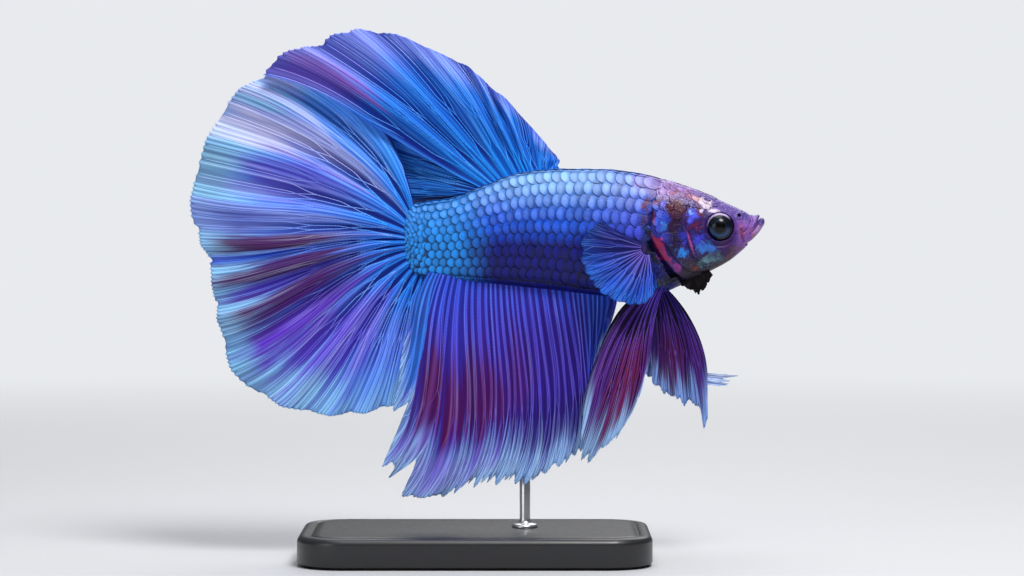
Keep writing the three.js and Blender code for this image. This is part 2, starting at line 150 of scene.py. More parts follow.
# ---------------------------------------------------------------- the body's form
# x, top of the back, line of the belly, half width, roundness of the lower half
SECTIONS = [
    (-9.3, 43.6, 40.4, 0.3, 2.0), (-8.75, 45.7, 38.5, 0.55, 2.0), (-7.75, 46.6, 37.4, 0.85, 2.0),
    (-5.9, 46.9, 36.7, 1.25, 1.9), (-3.25, 47.3, 36.5, 1.75, 1.8), (1.0, 48.9, 36.2, 2.4, 1.7),
    (6.0, 50.6, 35.7, 3.0, 1.65), (11.0, 51.1, 35.2, 3.4, 1.7), (16.0, 51.1, 34.6, 3.6, 1.85),
    (21.0, 50.6, 34.2, 3.75, 2.0), (24.1, 49.95, 34.8, 3.7, 2.0), (27.25, 49.0, 36.2, 3.45, 2.0),
    (30.4, 47.85, 37.6, 3.1, 2.0), (32.9, 46.7, 38.95, 2.7, 2.1), (34.75, 45.85, 40.4, 2.25, 2.2),
    (36.25, 45.15, 41.9, 1.75, 2.2), (37.25, 44.75, 43.15, 1.15, 2.2), (37.75, 44.3, 43.9, 0.35, 2.0),
]
UPPER_ROUNDNESS = 2.1
WIDEST_AT = 0.55  # of the height
SCALE_BED = 0.13  # how much lower the skin lies where scales cover it
FULL_DEPTH = 15.9  # of the trunk where it is deepest
STALK_START = -6.1  # where the trunk ends and the tail stalk begins
TAIL_END, LIP_END = SECTIONS[0][0], SECTIONS[-1][0]
back_line, belly_line, half_width, lower_roundness = (
    curve([(s[0], s[k]) for s in SECTIONS]) for k in (1, 2, 3, 4)
)

EYE = (31.78, 43.65)
EYE_RADIUS, EYE_DEPTH = 1.8, 1.25
EYE_Y = half_width(EYE[0]) - 0.45
NOSTRILS = ((34.4, 45.1, 0.2), (34.9, 45.62, 0.11))  # x, z and radius
GAPE = [(37.35, 44.95), (36.95, 44.45), (36.5, 43.55), (35.8, 42.6)]
UPPER_LIP = [(35.6, 45.7), (36.0, 44.6), (35.6, 43.6), (34.95, 42.9)]
LOWER_LIP = [(37.6, 43.2), (37.0, 42.45), (36.2, 41.75), (35.3, 41.4)]
MAXILLA = [(34.65, 43.3), (34.7, 42.4), (34.95, 41.7)]
JAW_EDGE = [(35.5, 41.0), (34.5, 39.95), (33.2, 38.95), (31.4, 38.05), (29.6, 37.65), (28.4, 37.6)]
GILL_EDGE = [
    (24.3, 48.5), (23.3, 47.1), (23.0, 45.2), (22.75, 43.6), (22.7, 42.6),
    (23.4, 41.2), (24.25, 39.7), (25.25, 38.35), (26.5, 37.2), (28.0, 36.5),
]
GILL_BAND = [(23.3, 43.4), (24.1, 42.1), (24.95, 40.9), (25.8, 39.7), (26.7, 38.6), (27.9, 37.9)]
CHEEK_RIDGE = [(26.9, 45.4), (27.1, 43.9), (27.6, 42.4), (28.2, 40.8), (28.9, 39.6), (30.2, 38.9)]
COVER_GROOVE = [(25.2, 46.9), (25.5, 44.6), (26.3, 42.2), (27.3, 40.0)]
SIDE_FIN_ROOT = (22.0, 40.8)


def body_distance(x, y, z, inset):
    """Roughly how far a point lies outside the plain body, in millimetres."""

    def share(at):
        top, bottom = back_line(at) - inset, belly_line(at) + inset
        side = np.maximum(half_width(at) - inset, 0.12)
        middle = mix(bottom, top, WIDEST_AT)
        up = z > middle
        height = np.maximum(np.where(up, top - middle, middle - bottom), 0.05)
        power = np.where(up, UPPER_ROUNDNESS, lower_roundness(at))
        across, along = np.abs(y) / side, np.abs(z - middle) / height
        size = (across**power + along**power + 1e-12) ** (1 / power)
        parts = ((across, side), (along, height))
        return size, *(part ** (power - 1) / room * size ** (1 - power) for part, room in parts)

    size, slope_y, slope_z = share(x)
    nudge = 0.05
    slope_x = (share(x + nudge)[0] - share(x - nudge)[0]) / (2 * nudge)
    steepness = np.sqrt(slope_y**2 + slope_z**2 + np.clip(slope_x, -2, 2) ** 2)
    distance = np.clip((size - 1) / np.maximum(steepness, 0.05), -3, 3)
    return np.maximum(distance, np.maximum(x - LIP_END, TAIL_END - x))


def head_relief(x, z):
    """How far the side of the head and throat stands out or in, in millimetres."""
    from_eye = np.hypot(x - EYE[0], z - EYE[1])
    below = smooth(0.4, -1.2, z - EYE[1])
    relief = 0.17 * bell(from_eye - 2.02, 0.2)
    relief += (0.1 * bell(from_eye - 2.95, 0.3) - 0.13 * bell(from_eye - 2.45, 0.2)) * below
    for pit_x, pit_z, radius in NOSTRILS:
        away = np.hypot(x - pit_x, z - pit_z)
        relief += 0.11 * bell(away - 1.7 * radius, 0.12) - 0.42 * bell(away, radius)
    jaw = near_line(x, z, JAW_EDGE)[0]
    relief += 0.05 * bell(jaw - 0.3, 0.2) - 0.14 * bell(jaw, 0.1)
    ridge, along, side = near_line(x, z, CHEEK_RIDGE)
    crest = 0.15 * bell(ridge, 0.22) - 0.14 * bell(ridge * side + 0.4, 0.14)
    relief += crest * smooth(0, 0.2, along)
    groove, along, _ = near_line(x, z, COVER_GROOVE)
    relief -= 0.07 * bell(groove, 0.16) * smooth(0, 0.3, along) * smooth(1, 0.7, along)
    band, along, _ = near_line(x, z, GILL_BAND)
    relief -= 0.2 * bell(band, 0.1) * smooth(0, 0.15, along)
    edge, along, side = near_line(x, z, GILL_EDGE)
    inside, low = edge * side, smooth(43.9, 42.3, z)
    lip = smooth(-0.03, 0.13, inside) * smooth(3.6, 0.9, inside) * mix(0.2, 0.34, low)
    gap = bell(inside + mix(0.16, 0.36, low), mix(0.12, 0.28, low)) * mix(0.22, 0.75, low)
    return relief + (lip - gap) * smooth(0, 0.14, along) * smooth(1, 0.9, along)


def mouth_relief(x, z):
    """How far the lips and the creases round them stand out or in, in millimetres."""
    gape, along, _ = near_line(x, z, GAPE)
    relief = 0.3 * bell(gape - 0.4, 0.33) * (1 - 0.75 * smooth(0.6, 1.0, along))
    upper, along, _ = near_line(x, z, UPPER_LIP)
    relief -= 0.2 * bell(upper, 0.14) * smooth(-0.3, 0.4, along)
    lower, along, _ = near_line(x, z, LOWER_LIP)
    relief -= 0.22 * bell(lower, 0.15) * smooth(0, 0.25, along)
    maxilla = near_line(x, z, MAXILLA)[0]
    return relief - 0.2 * bell(maxilla, 0.11) + 0.08 * bell(maxilla - 0.32, 0.2)


def trunk_relief(x, z):
    """The muscle along the anal fin's base, and the fleshy root of each pectoral fin."""
    above = FULL_DEPTH * (z - belly_line(x)) / (back_line(x) - belly_line(x))
    strip = 0.22 * smooth(1.75, 1.25, above) - 0.13 * bell(above - 1.62, 0.13)
    root = np.hypot((x - SIDE_FIN_ROOT[0]) / 0.5, (z - SIDE_FIN_ROOT[1]) / 0.95)
    return strip * smooth(-5.4, -3.6, x) * smooth(18.6, 16.6, x) + 0.2 * smooth(1.5, 0.3, root)


def slit_distance(x, z):
    """Below zero in the narrow opening of the mouth."""
    gape, along, _ = near_line(x, z, GAPE)
    return gape - mix(0.09, 0.07, along)


def tabled(function, x_range, z_range, step=0.03):
    """The same function of x and z, read from a fine table of itself."""
    table = function(np.arange(*x_range, step)[:, None], np.arange(*z_range, step)[None, :])

    def read(x, z):
        across = np.clip((x - x_range[0]) / step, 0, table.shape[0] - 1.001)
        up = np.clip((z - z_range[0]) / step, 0, table.shape[1] - 1.001)
        i, k = across.astype(int), up.astype(int)
        low, high = (mix(table[i, n], table[i + 1, n], across - i) for n in (k, k + 1))
        return mix(low, high, up - k)

    return read


read_head = tabled(head_relief, (20.0, 38.6), (33.0, 50.8))
read_mouth = tabled(mouth_relief, (33.0, 38.6), (39.0, 48.0))
read_slit = tabled(slit_distance, (33.0, 38.6), (40.0, 47.0))


def skin_distance(x, y, z):
    """Below zero inside the finished skin."""
    distance = body_distance(x, y, z, SCALE_BED * smooth(26.5, 23.0, x))
    relief = read_head(x, z) * smooth(20.5, 22.5, x) + trunk_relief(x, z)
    distance = distance - relief * smooth(0.35, 1.3, np.abs(y))
    distance = distance - read_mouth(x, z) * smooth(33.2, 34.2, x)
    flat = np.hypot(x - EYE[0], z - EYE[1]) / (EYE_RADIUS + 0.05)
    socket = np.hypot(flat, (np.abs(y) - EYE_Y) / (EYE_DEPTH + 0.06))
    distance = rounded_max(distance, (1 - socket) * 1.3, 0.14)
    slit = np.where(x > 34.0, read_slit(x, z), 9.0)
    slit_depth = 0.08 + 0.45 * smooth(35.8, 36.8, x)
    distance = rounded_max(distance, np.minimum(-slit, distance + slit_depth), 0.2)
    keel = bell(y, 0.28) * smooth(22.5, 24.5, x) * smooth(33.5, 31.5, x)  # between the gill membranes
    return distance + 0.2 * keel * smooth(2.5, 0.8, z - belly_line(x))


# ---------------------------------------------------------------- the fins' forms
MOST_RAYS = 64  # main rays that a fin may have, each with its own share of unevenness
VALLEY_STEPS = 5  # of the web between two bundles of branches
RAY_POINTS = 105  # along a ray that runs from root to hem


class Fin:
    """A fin: where its rays start and end, how they bend, sway and fold, and how they branch.

    Its root and tip are lines of (u, x, z), with u from 0 to 1 across the fin, and the angles are (u,
    degrees) of the rays there; sway gives y. Ray coordinate q counts the main rays.
    """

    subs, splits = 4, (0.2, 0.5)  # branches of one main ray at the hem, and how far out each forking lies
    spread = 0.7  # share of a main ray's room its branches take
    notch, small_notch, uneven = 0.02, 0.01, 0.01  # of the hem
    gather, bulge = 0.0, 0.0  # how soon the folds deepen, and extra thickness of each bundle at the root
    rows, steps = 70, 4  # of the mesh: from root to hem, and across one branch
    seed, ray_size, waver = 1, 1.0, 0.12
    bend = 1.0  # how long the rays keep their first and last directions
    reach_over = (0.0, 1.0)

    def __init__(self, node, root, tip, root_angle, tip_angle, sway, folds, depth, **more):
        self.node = self.name = node
        self.root, self.tip = (line if callable(line) else path(line) for line in (root, tip))
        self.root_angle, self.tip_angle = curve(root_angle), curve(tip_angle)
        self.sway, self.depth, self.rays = sway, depth, folds
        vars(self).update(more)
        self.ratio = self.rays / folds
        u = np.linspace(-0.1, 1.1, 2000)
        slow = min(0.22, 0.03 * folds) * np.sin(TURN * 2.3 * u)
        fast = 0.0035 * folds * np.sin(TURN * 9.7 * u + 1.0)
        q = self.ratio * (folds * u + slow + fast)
        self.across = lambda at: np.interp(at, q, u)
        self.first, self.last = (float(np.interp(at, u, q)) for at in self.reach_over)
        self.random = np.random.default_rng(self.seed).uniform(-1, 1, (MOST_RAYS, 4))

    def place(self, q, v):
        """The middle of the web at ray coordinate q, a share v of the way out."""
        u, w = self.across(q), 1 - v
        start, end = np.array(self.root(u)), np.array(self.tip(u))
        reach = self.bend * np.hypot(*(end - start)) / 3
        a, b = np.radians(self.root_angle(u)), np.radians(self.tip_angle(u))
        after = start + reach * np.array([np.cos(a), np.sin(a)])
        before = end - reach * np.array([np.cos(b), np.sin(b)])
        x, z = w**3 * start + 3 * w * w * v * after + 3 * w * v * v * before + v**3 * end
        angle = mix(a, b, v) + math.pi / 2
        ripple = np.sin(1.9 * q + 6.1 * v + self.seed) + 0.6 * np.sin(4.3 * q - 9.0 * v)
        aside = self.waver * smooth(0.1, 0.6, v) * ripple
        rise = mix(v, smooth(0.0, 0.5, v), self.gather)
        y = self.sway(u, v) + self.depth * rise * np.cos(TURN * q / self.ratio)
        y = y + 0.1 * smooth(0.2, 0.8, v) * np.sin(5.1 * q + 11.0 * v + 2.0 * np.sin(1.3 * q))
        return np.stack([x + aside * np.cos(angle), y, z + aside * np.sin(angle)], axis=-1)

    def hem(self, q):
        """How far out the web reaches at ray coordinate q."""
        local = np.mod(q, 1.0) - 0.5
        k = np.clip(np.floor(q).astype(int) + 2, 0, MOST_RAYS - 1)
        branch = np.abs(np.mod(local * self.subs / self.spread + self.subs / 2, 1.0) - 0.5) * 2
        branch = np.where(np.abs(local) < self.spread / 2, branch, 1.0)
        main = self.notch * (1 + 0.4 * self.random[k, 0]) * (2 * np.abs(local)) ** 1.2
        length = self.uneven * (1 + self.random[k, 1]) * (1 - (2 * np.abs(local)) ** 2)
        return 1.0 - main - self.small_notch * branch - length

    def thickness(self, q, v):
        """Half the thickness of the web."""
        swell = self.bulge * smooth(0.0, 0.07, v) * smooth(0.5, 0.16, v)
        half = mix(sizes().web_root, sizes().web_hem, v**0.7) / MM / 2
        return half + swell * bell(np.mod(q, 1.0) - 0.5, 0.21)


# the tail spreads round a hub: the distances from it, by angle, of its hem and of its root
TAIL_HUB = (-5.25, 41.7)
tail_radius = curve([
    (128, 29.8), (134, 31.2), (148, 33.3), (170, 33.2), (188, 30.2), (200, 31.0),
    (213, 32.1), (228, 29.7), (244, 25.6), (255, 22.7), (265, 18.6),
])
tail_root = curve([(121, 5.4), (180, 3.2), (262, 4.6)])
SIDE_HUB = (22.4, 40.9)  # and a pectoral fin round this one
side_radius = curve([(0, 7.4), (0.2, 8.9), (0.6, 8.3), (0.85, 7.4), (1, 5.3)])
PELVIC = {"rays": 9, "spread": 0.75, "notch": 0.05, "small_notch": 0.015, "uneven": 0.02, "ray_size": 0.7}


def caudal_fin():
    return Fin(
        "caudal_fin",
        root=lambda u: around(TAIL_HUB, tail_root(mix(121, 258, u)), mix(121, 258, u)),
        tip=lambda u: around(TAIL_HUB, tail_radius(mix(128, 265, u)), mix(128, 265, u)),
        root_angle=[(0, 98), (0.12, 126), (0.3, 158), (0.5, 183), (0.7, 209), (0.88, 240), (1, 262)],
        tip_angle=[(0, 172), (0.12, 161), (0.3, 169), (0.5, 187), (0.7, 212), (0.88, 248), (1, 268)],
        sway=lambda u, v: (
            0.55 * smooth(0.2, 1, v) * np.sin(math.pi * (1.7 * u + 0.1)) + 0.5 * smooth(0.7, 1, u)
        ),
        folds=12, depth=0.65, subs=8, splits=(0.05, 0.18, 0.42), spread=0.76, notch=0.026, small_notch=0.008,
        gather=0.55, bulge=0.34, reach_over=(0.0, 1.1), rows=76, seed=3,
    )


def dorsal_fin():
    return Fin(
        "dorsal_fin",
        root=[(0, 11.0, 50.6), (0.5, 6.4, 49.9), (1, 1.9, 48.2)],
        tip=[
            (0, 10.95, 52.2), (0.12, 10.25, 53.5), (0.22, 8.9, 54.85), (0.36, 3.4, 60.9),
            (0.55, -2.9, 65.8), (0.63, -7.25, 67.7), (0.70, -10.9, 69.0), (0.80, -16.75, 69.5),
            (0.84, -19.4, 68.8), (0.87, -21.5, 67.5), (0.90, -22.9, 67.3), (0.95, -26.2, 66.2),
            (1, -28.4, 63.5),
        ],
        root_angle=[(0, 85), (0.36, 113), (0.55, 116), (0.7, 126), (0.86, 138), (1, 157)],
        tip_angle=[(0, 85), (0.36, 115), (0.55, 127), (0.7, 140), (0.86, 151), (1, 170)],
        sway=lambda u, v: -1.75 * smooth(0.25, 1, u) * smooth(0.15, 0.6, v),
        folds=7, depth=0.6, rays=14, splits=(0.12, 0.4), spread=0.8, gather=0.6, bulge=0.1, seed=4,
    )


def dorsal_rear():
    """The dorsal fin's last rays, which lie down over the tail."""
    return Fin(
        "dorsal_fin",
        root=[(0, 3.6, 48.9), (0.5, 2, 48.1), (1, 1.2, 47.6)],
        tip=[(0, -13.6, 59.8), (0.3, -15.0, 54.8), (0.65, -14, 50.4), (1, -9.8, 45.2)],
        root_angle=[(0, 148), (0.5, 163), (1, 178)],
        tip_angle=[(0, 148), (0.5, 166), (1, 196)],
        sway=lambda u, v: 0.2 + 1.75 * smooth(0.2, 0.62, v) * smooth(-0.2, 0.25, u),
        folds=2, depth=0.25, name="dorsal_rear", rays=8, notch=0.03, seed=5, ray_size=0.8,
    )


def anal_fin():
    return Fin(
        "anal_fin",
        root=[(0, -6.1, 37.7), (0.25, -1.5, 37), (0.5, 5, 36.4), (0.75, 11.5, 35.9), (1, 18.3, 34.9)],
        tip=[
            (0, -9.3, 28.8), (0.045, -11.1, 18.8), (0.068, -9.3, 20.4), (0.091, -13, 11.5),
            (0.114, -11.2, 11.4), (0.136, -12.6, 9.6), (0.159, -8.2, 13), (0.182, -10.6, 7.9),
            (0.22, -8.2, 7.1), (0.28, -4.6, 7.6), (0.38, -1, 9.2), (0.48, 3, 9.6), (0.58, 6.2, 9.3),
            (0.68, 9.9, 11), (0.78, 13.4, 13.4), (0.85, 14.3, 15.2), (0.9, 14.7, 19.6),
            (0.94, 15.6, 24.8), (0.97, 17.0, 29.2), (1, 18.4, 32.9),
        ],
        root_angle=[(0, 237), (0.15, 252), (0.4, 268), (0.7, 277), (1, 272)],
        tip_angle=[(0, 246), (0.08, 222), (0.15, 222), (0.4, 231), (0.65, 244), (0.85, 262), (1, 268)],
        sway=lambda u, v: -1.6 * (1 - smooth(0.05, 0.42, u)) * (0.5 + 0.5 * smooth(0, 0.3, v)),
        folds=11, depth=0.24, rays=33, splits=(0.55, 0.78), spread=0.62, notch=0.05, small_notch=0.012,
        uneven=0.018, steps=3, rows=80, seed=9, ray_size=0.7,
    )


def pelvic_fins():
    """The right fin, the left one, and the left one's long pale streamer."""
    return [
        Fin(
            "pelvic_fin_right",
            root=[(0, 23.2, 35.7), (1, 24.6, 35.6)],
            tip=[
                (0, 14, 19.4), (0.14, 13.6, 16.4), (0.27, 13.3, 12.9), (0.38, 14.3, 12.3),
                (0.5, 17.2, 15), (0.68, 18.8, 16.7), (0.85, 20.6, 20.2), (1, 21.6, 23),
            ],
            root_angle=[(0, 194), (0.35, 226), (1, 252)],
            tip_angle=[(0, 262), (0.35, 246), (0.7, 236), (1, 252)],
            sway=lambda u, v: -1.3 - 2.0 * smooth(0, 0.5, v),
            folds=3, depth=0.3, seed=11, **PELVIC,
        ),
        Fin(
            "pelvic_fin_left",
            root=[(0, 23.4, 35.6), (1, 25.0, 35.6)],
            tip=[
                (0, 22.2, 23.5), (0.3, 24.8, 21.4), (0.55, 27.2, 19.8), (0.76, 29.2, 19.4),
                (0.86, 30.1, 16.4), (0.95, 30.7, 19.3), (1, 30.7, 21.6),
            ],
            root_angle=[(0, 262), (1, 318)],
            tip_angle=[(0, 258), (0.5, 276), (1, 268)],
            sway=lambda u, v: 1.3 + 0.8 * smooth(0, 0.6, v),
            folds=3, depth=0.25, seed=13, **PELVIC,
        ),
        Fin(
            "pelvic_fin_left",
            root=[(0, 24.5, 35.5), (1, 24.9, 35.6)],
            tip=[(0, 34.9, 22.4), (1, 35.6, 24.2)],
            root_angle=[(0, 283), (1, 288)],
            tip_angle=[(0, -2), (1, 3)],
            sway=lambda u, v: 1.75 + 1.1 * smooth(0, 0.3, v),
            folds=1, depth=0.0, name="pelvic_streamer", rays=3, subs=2, splits=(0.6,), notch=0.07,
            small_notch=0.03, uneven=0.02, bend=1.95, rows=50, seed=15, ray_size=1.2, waver=0.04,
        ),
    ]


def pectoral_fin(side, name):
    return Fin(
        f"pectoral_fin_{name}",
        root=lambda u: around(SIDE_HUB, 0.9, mix(150, 290, u)),
        tip=lambda u: around(SIDE_HUB, side_radius(u), mix(152, 283, u)),
        root_angle=[(0, 150), (1, 286)],
        tip_angle=[(0, 158), (1, 278)],
        sway=lambda u, v: side * (half_width(SIDE_HUB[0]) + 0.05 + 2.5 * v * (1 - 0.3 * v)),
        folds=4, depth=0.22, rays=13, spread=0.6, splits=(0.35, 0.75), notch=0.04, small_notch=0.012,
        rows=50, seed=7, ray_size=0.62, waver=0.05,
    )


def gill_frill(side, name):
    return Fin(
        f"gill_frill_{name}",
        root=[(0, 26.6, 37.3), (1, 30.6, 38.3)],
        tip=[(0, 26.9, 35.9), (0.3, 28.2, 35.0), (0.6, 29.3, 34.4), (0.8, 30.2, 35.4), (1, 31.0, 37.0)],
        root_angle=[(0, 268), (1, 268)],
        tip_angle=[(0, 276), (1, 276)],
        sway=lambda u, v: side * (0.85 + 0.35 * v),
        folds=2, depth=0.16, rays=6, subs=2, splits=(0.5,), notch=0.16, small_notch=0.05, uneven=0.09,
        rows=26, seed=17 + side, ray_size=0.4, waver=0.1,
    )


def web_mesh(fin):
    """A closed thin sheet that follows the folds: points, faces, and each point's q, v and side."""
    half = fin.spread / 2
    branches = np.linspace(-half, half, fin.subs * fin.steps, endpoint=False)
    valley = np.linspace(half, 1 - half, VALLEY_STEPS, endpoint=False)
    pitch = np.concatenate([branches, valley])
    whole = (np.arange(-2, math.ceil(fin.last) + 2)[:, None] + 0.5 + pitch).ravel()
    whole = whole[(whole > fin.first + 0.01) & (whole < fin.last - 0.01)]
    q = np.concatenate([[fin.first], whole, [fin.last]])[:, None]
    v = np.linspace(0, 1, fin.rows + 1) * fin.hem(q)
    q = np.broadcast_to(q, v.shape)
    middle = fin.place(q, v)
    half = fin.thickness(q, v)[..., None] * (0, 1, 0)
    points = np.concatenate([(middle - half).reshape(-1, 3), (middle + half).reshape(-1, 3)])
    number = np.arange(v.size).reshape(v.shape)
    corners = number[:-1, :-1], number[1:, :-1], number[1:, 1:], number[:-1, 1:]
    sheet = np.stack(corners, axis=-1).reshape(-1, 4)
    rim = np.concatenate([number[:, 0], number[-1, 1:], number[-2::-1, -1], number[0, -2:0:-1]])
    after = np.roll(rim, -1)
    edge = np.column_stack([after, rim, rim + v.size, after + v.size])
    faces = np.concatenate([sheet, sheet[:, ::-1] + v.size, edge])
    if np.cross(middle[1, 0] - middle[0, 0], middle[0, 3] - middle[0, 0])[1] > 0:
        faces = faces[:, ::-1]
    return points, faces, np.tile(q.ravel(), 2), np.tile(v.ravel(), 2), np.repeat([1.0, -1.0], v.size)


def fork_offset(fin, bits, v):
    """How far a branch has moved aside from its main ray, after a turn to one side at each fork."""
    return sum(
        (bit - 0.5) * fin.spread / 2**k * smooth(fork, fork + 0.16, v)
        for k, (bit, fork) in enumerate(zip(bits, fin.splits))
    )


def ray_lines(fin):
    """Every ray and branch as a line: its points, their q and v, its radii and how proud it stands."""
    levels = len(fin.splits)
    lines = []
    for main in range(math.floor(fin.first), math.ceil(fin.last)):
        for branch in range(2**levels):
            bits = [branch >> (levels - 1 - k) & 1 for k in range(levels)]
            start = max((fork for bit, fork in zip(bits, fin.splits) if bit), default=0.0)
            end = float(fin.hem(main + 0.5 + fork_offset(fin, bits, 1.0))) + 0.008
            v = np.linspace(max(start - 0.01, 0.0), end, max(int(RAY_POINTS * (end - start)), 8))
            q = main + 0.5 + fork_offset(fin, bits, v)
            if q.min() < fin.first + 0.02 or q.max() > fin.last - 0.02:
                continue
            radius = mix(sizes().ray_root, sizes().ray_tip, np.clip(v, 0, 1) ** 0.6) / MM * fin.ray_size
            radius *= 1 - 0.75 * smooth(end - 0.05, end, v)
            if start > 0:
                radius *= mix(0.35, 1, smooth(start, start + 0.06, v))
            proud = np.maximum((fin.thickness(q, v) + 0.035) / radius, 1.0) - 1.0
            lines.append((fin.place(q, v), q, v, radius, proud * (1 - smooth(end - 0.04, end, v))))
    return lines


# ---------------------------------------------------------------- meshes
def show(name, data):
    """Puts a mesh, lamp or camera in the scene."""
    thing = bpy.data.objects.new(name, data)
    bpy.context.scene.collection.objects.link(thing)
    return thing


def make_object(name, points, faces=(), edges=()):
    """A smooth mesh from points in millimetres, its object at the origin."""
    mesh = bpy.data.meshes.new(name)
    mesh.from_pydata((np.asarray(points) * MM).tolist(), edges, faces)
    mesh.validate()
    mesh.polygons.foreach_set("use_smooth", [True] * len(mesh.polygons))
    return show(name, mesh)


def store(piece, name, values, kind="FLOAT"):
    """Keeps a value for each point of a piece."""
    layer = piece.data.attributes.new(name, kind, "POINT")
    field = "vector" if kind == "FLOAT_VECTOR" else "value"
    layer.data.foreach_set(field, np.asarray(values, np.float32).ravel())


def hand_over(piece, material, slot, *nodes):
    """Gives a finished piece its material, hangs it on the root body and hides the frame's parts that it
    replaces.
    """
    piece.data.materials.clear()
    piece.data.materials.append(material)
    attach(piece, "root")
    if nodes:
        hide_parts(*nodes)


def ring(x, y, z, radius, sides):
    """A level circle of points, counterclockwise from above."""
    across, deep = around((x, y), radius, np.arange(sides) * 360 / sides)
    return np.column_stack([across, deep, np.full(sides, z)])


def loft(name, rings, caps=True):
    """A piece through rings of points from below, closed by flat caps."""
    rings = np.array(rings)
    number = np.arange(rings.size // 3).reshape(rings.shape[:2])
    after = np.roll(number, -1, axis=1)
    quads = np.stack([number[:-1], after[:-1], after[1:], number[1:]], axis=-1).reshape(-1, 4)
    ends = [number[0, ::-1].tolist(), number[-1].tolist()] if caps else []
    piece = make_object(name, rings.reshape(-1, 3), quads.tolist() + ends)
    for cap in piece.data.polygons[len(quads) :]:
        cap.use_smooth = False
    return piece


def surface_of(distance, *axes):
    """A closed mesh of quads where distance crosses zero on a grid of points."""
    inside = distance < 0
    corners = np.array(list(np.ndindex(2, 2, 2)))
    nx, ny, nz = np.array(inside.shape) - 1
    count = sum(inside[i : i + nx, j : j + ny, k : k + nz].astype(np.int8) for i, j, k in corners)
    cells = np.argwhere((count > 0) & (count < 8))
    number = np.full(count.shape, -1)
    number[tuple(cells.T)] = np.arange(len(cells))
    total, hits = np.zeros((len(cells), 3)), np.zeros((len(cells), 1))
    steps = np.eye(3, dtype=int)
    for corner in corners:
        for step in steps[corner == 0]:
            a, b = cells + corner, cells + corner + step
            here, there = distance[tuple(a.T)], distance[tuple(b.T)]
            cross = (here < 0) != (there < 0)
            t = here / np.where(cross, here - there, 1)
            low, high = (np.column_stack([axis[n] for axis, n in zip(axes, end.T)]) for end in (a, b))
            total += mix(low, high, t[:, None]) * cross[:, None]
            hits += cross[:, None]
    quads = []
    for axis, step in enumerate(steps):
        here = inside[: nx + 1 - step[0], : ny + 1 - step[1], : nz + 1 - step[2]]
        there = inside[step[0] :, step[1] :, step[2] :]
        edges = np.argwhere(here != there)
        side, up = steps[(axis + 1) % 3], steps[(axis + 2) % 3]
        around_it = (edges - side - up, edges - up, edges, edges - side)
        quad = np.column_stack([number[tuple(cell.T)] for cell in around_it])
        quads.append(np.where(here[tuple(edges.T)][:, None], quad, quad[:, ::-1]))
    return total / hits, np.concatenate(quads)


def slope_of(distance, points, nudge):
    """How fast a distance grows along each axis."""
    steps = np.eye(3) * nudge
    rises = [distance(*(points + step).T) - distance(*(points - step).T) for step in steps]
    return np.column_stack(rises) / (2 * nudge)


def settle(points, distance, rounds=2):
    """Moves points onto the surface where distance is zero."""
    for _ in range(rounds):
        slope = slope_of(distance, points, 0.015)
        steepness = np.maximum((slope**2).sum(1), 0.25)
        move = -(distance(*points.T) / steepness)[:, None] * slope
        points = points + move / np.maximum(np.linalg.norm(move, axis=1) / 0.06, 1)[:, None]
    return points


def relax(points, quads, share=0.35, rounds=2):
    """Evens out the spacing of a quad mesh's points."""
    edges = np.concatenate([quads[:, [k, (k + 1) % 4]] for k in range(4)])
    a, b = np.concatenate([edges, edges[:, ::-1]]).T
    count = np.maximum(np.bincount(a, minlength=len(points)), 1)
    for _ in range(rounds):
        total = np.array([np.bincount(a, axis[b], len(points)) for axis in points.T])
        points = mix(points, (total / count).T, share)
    return points


def spaced(stops):
    """Grid lines with a spacing that follows (at, spacing) stops."""
    spacing = curve(stops)
    lines = [stops[0][0]]
    while lines[-1] < stops[-1][0]:
        lines.append(lines[-1] + float(spacing(lines[-1])))
    return np.array(lines)


# ---------------------------------------------------------------- node trees
class Value:
    """The output of a node; those that are numbers can be written in sums."""

    def __init__(self, owner, socket):
        self.owner, self.socket = owner, socket

    def __add__(self, other):
        return self.owner.math("ADD", self, other)

    def __sub__(self, other):
        return self.owner.math("SUBTRACT", self, other)

    def __mul__(self, other):
        return self.owner.math("MULTIPLY", self, other)

    def __radd__(self, other):
        return self.owner.math("ADD", other, self)

    def __rsub__(self, other):
        return self.owner.math("SUBTRACT", other, self)

    def __rmul__(self, other):
        return self.owner.math("MULTIPLY", other, self)

    def between(self, low, high, top=1.0):
        """0 below low, top above high, smooth between; low may be the greater."""
        (low, bottom), (high, top) = sorted(((low, 0.0), (high, top)))
        inputs = {"Value": self, "From Min": low, "From Max": high, "To Min": bottom, "To Max": top}
        return self.owner.node("ShaderNodeMapRange", {"interpolation_type": "SMOOTHSTEP"}, inputs)

    def noise(self, scale, detail=2.0, roughness=0.5, flat=False):
        """Soft random mottling, 0 to 1, at the place that this value gives."""
        inputs = {"Vector": self, "Scale": scale, "Detail": detail, "Roughness": roughness}
        return self.owner.node("ShaderNodeTexNoise", {"noise_dimensions": "2D" if flat else "3D"}, inputs)


